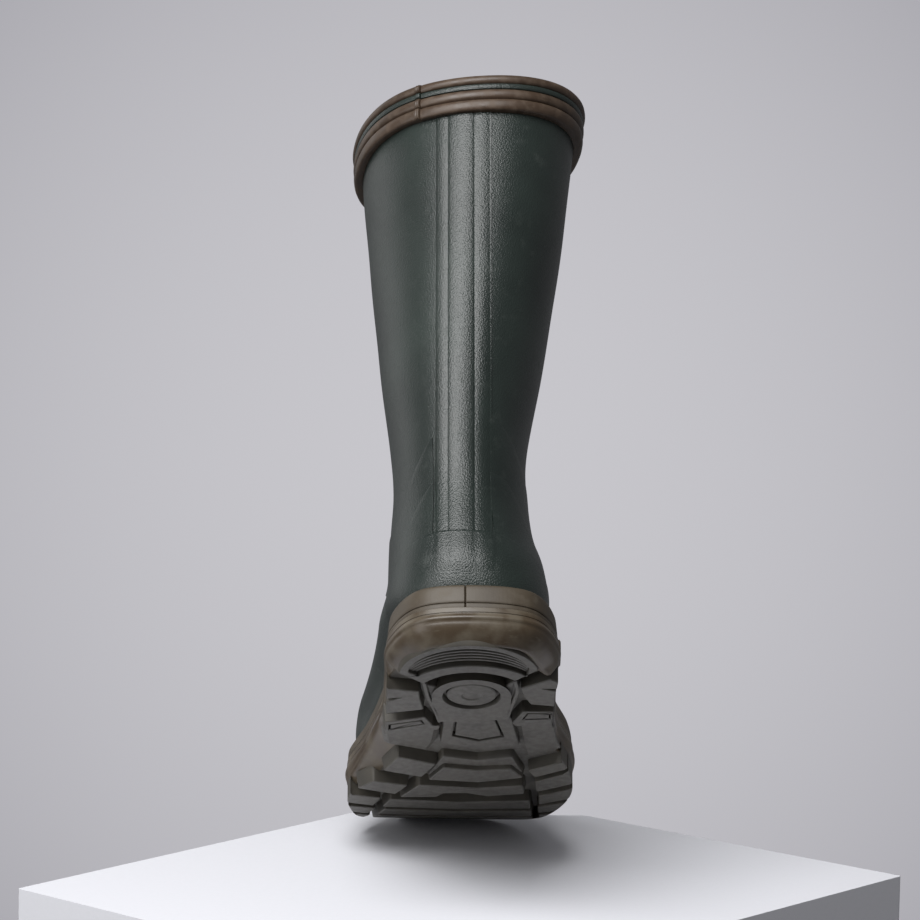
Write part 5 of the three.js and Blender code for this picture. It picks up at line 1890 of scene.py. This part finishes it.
# ------------------------------------------------------------------ studio
@dataclass
class Studio:
    """The pale block that the boot's toe stands on, the soft lights and the camera.

    The boot is tipped forward onto its toe, so the studio's upright leans back in the frame.
    """

    tip: float = 36.1
    camera_fall: float = -26.7
    camera_yaw: float = 2.0
    focal: float = 273.913
    sensor: float = 36.0
    distance: float = 3.535
    aim: tuple[float, float, float] = (-0.003, -0.129, 0.110)
    aim_right: float = 0.003
    touch_y: float = 143.0
    block_slope: float = 0.24
    block_corners: tuple[tuple[float, float], ...] = (
        (-0.2265, -0.181), (-0.0111, -0.3986), (0.2289, -0.1239), (0.0714, 0.012), (-0.0532, 0.012))

    @property
    def up(self) -> Vector:
        """The studio's upright in the boot's frame."""
        lean = math.radians(self.tip)
        return Vector((0.0, -math.sin(lean), math.cos(lean)))

    @property
    def away(self) -> Vector:
        """Level direction away from the camera."""
        lean = math.radians(self.tip)
        return Vector((0.0, math.cos(lean), math.sin(lean)))

    def place(self, right: float, up: float, away: float) -> Vector:
        """A point given in metres from the boot's middle along the studio's axes."""
        return Vector((0.0, -0.05, 0.12)) + Vector((right, 0, 0)) + self.up * up + self.away * away

    def block(self) -> Piece:
        """The pale painted block, a corner towards the camera, touching the toe."""
        touch = Vector((0.0, self.touch_y, float(BootLast().spring(self.touch_y)) - 0.3)) * MM
        material = bpy.data.materials.new("painted_fibreboard")
        material.use_nodes = True
        tree = material.node_tree
        shader = tree.nodes["Principled BSDF"]
        shader.inputs["Roughness"].default_value = 0.55
        place = add_node(tree, "ShaderNodeTexCoord").outputs["Object"]
        noise = add_node(tree, "ShaderNodeTexNoise", {"Scale": per_metre(2.0), "Detail": 4.0},
                         {"Vector": place})
        paints = {"data_type": "RGBA", 6: linear("#e2e3e8"), 7: linear("#e8e8ee")}
        tone = add_node(tree, "ShaderNodeMix", paints, {0: noise.outputs["Fac"]})
        tree.links.new(tone.outputs[2], shader.inputs["Base Color"])
        plan = round_corners(turned_left(self.block_corners), 0.0015, 4)
        behind = max(away for _, away in self.block_corners)
        mesh = bpy.data.meshes.new("studio_block")
        top, bottom = [], []
        for right, away in plan:
            spot = touch + Vector((float(right), 0, 0)) + self.away * float(away)
            top.append(spot)
            bottom.append(spot - self.up * (0.003 + self.block_slope * (behind - float(away))))
        count = len(plan)
        faces = [tuple(range(count)), tuple(range(2 * count - 1, count - 1, -1))]
        faces += [(i, i + count, (i + 1) % count + count, (i + 1) % count) for i in range(count)]
        mesh.from_pydata([tuple(v) for v in top + bottom], [], faces)
        mesh.materials.append(material)
        close_up(mesh)
        piece = linked("studio_block", mesh)
        return piece

    def softbox(self, name: str, spot: Vector, size: tuple[float, float], power: float) -> None:
        """A rectangular light that faces the boot's middle."""
        light = bpy.data.lights.new(name, "AREA")
        light.shape = "RECTANGLE"
        light.size, light.size_y = size
        light.energy = power
        holder = linked(name, light)
        holder.location = spot
        holder.rotation_euler = (self.place(0, 0, 0) - spot).to_track_quat("-Z", "Y").to_euler()

    @property
    def view(self) -> Vector:
        """Direction in which the camera looks."""
        fall, yaw = math.radians(self.camera_fall), math.radians(self.camera_yaw)
        return Vector((math.sin(yaw) * math.cos(fall), math.cos(yaw) * math.cos(fall),
                       -math.sin(fall)))

    def world(self) -> None:
        """A pale grey room that lights softly from all round; as the camera sees it, it is painted
        lighter round the middle of the view, a painted pool of light.
        """
        world = bpy.data.worlds.new("pale_room")
        bpy.context.scene.world = world
        world.use_nodes = True
        tree = world.node_tree
        tree.nodes.clear()
        heading = add_node(tree, "ShaderNodeTexCoord")
        # Painted light: what the camera sees of the room is lighter near the middle of the view, a
        # painted pool of light.
        facing = add_node(tree, "ShaderNodeVectorMath", {"operation": "DOT_PRODUCT", 1: self.view},
                          {0: heading.outputs["Generated"]})
        painted_light_pool = add_node(tree, "ShaderNodeMapRange", {"From Min": 0.9957, "From Max": 1.0},
                        {"Value": facing.outputs["Value"]})
        greys = {"data_type": "RGBA", 6: linear("#adacb2"), 7: linear("#c7c6cb")}
        tone = add_node(tree, "ShaderNodeMix", greys, {0: painted_light_pool.outputs["Result"]})
        seen = add_node(tree, "ShaderNodeBackground", {"Strength": 1.0}, {"Color": tone.outputs[2]})
        cast = add_node(tree, "ShaderNodeBackground", {"Color": linear("#c8c8cc"), "Strength": 0.26})
        ray = add_node(tree, "ShaderNodeLightPath")
        both = add_node(tree, "ShaderNodeMixShader", {},
                        {0: ray.outputs["Is Camera Ray"], 1: cast.outputs[0], 2: seen.outputs[0]})
        add_node(tree, "ShaderNodeOutputWorld", {}, {"Surface": both.outputs[0]})

    def camera(self) -> Piece:
        """The long-lens camera behind and below the heel."""
        right = self.view.cross(Vector((0, 0, 1))).normalized()
        data = bpy.data.cameras.new("long_lens")
        data.lens = self.focal
        data.sensor_width = self.sensor
        data.clip_end = 20.0
        camera = linked("long_lens", data)
        camera.location = Vector(self.aim) - self.view * self.distance - right * self.aim_right
        camera.rotation_euler = self.view.to_track_quat("-Z", "Y").to_euler()
        bpy.context.scene.camera = camera
        return camera

    def build(self) -> None:
        """Set up the block, the lights, the room and the camera."""
        self.block()
        self.world()
        self.softbox("overhead_softbox", self.place(-0.42, 1.25, -0.72), (1.25, 1.1), 33.0)
        self.softbox("side_softbox", self.place(-1.5, 0.3, -0.8), (0.9, 1.3), 8.0)
        self.softbox("rim_fill", self.place(-1.3, 0.2, 1.1), (1.0, 1.4), 3.5)
        self.camera()
        bpy.context.scene.view_settings.view_transform = "Standard"


def report(pieces: Iterable[Piece]) -> None:
    """Log each finished piece with its number of faces."""
    for piece in pieces:
        LOG.info("%s: %d faces", piece.name, len(piece.data.polygons))


def main() -> None:
    """Build the boot from the skin outwards, then the studio round it."""
    logging.basicConfig(level=logging.INFO, format="%(message)s")
    finishes = Wardrobe()
    last = BootLast()
    plan = SolePlan(last)
    cup = CupSole(last, plan, finishes.rand, finishes.foxing)
    report(Upper(last, finishes.green, finishes.overlay, finishes.knit).build())
    report(TopBinding(last, finishes.binding, finishes.green).build())
    report(cup.build())
    report(Tread(last, plan, cup, finishes.tread).build())
    report(Inside(last, finishes).build())
    Studio().build()


if __name__ == "__main__":
    main()
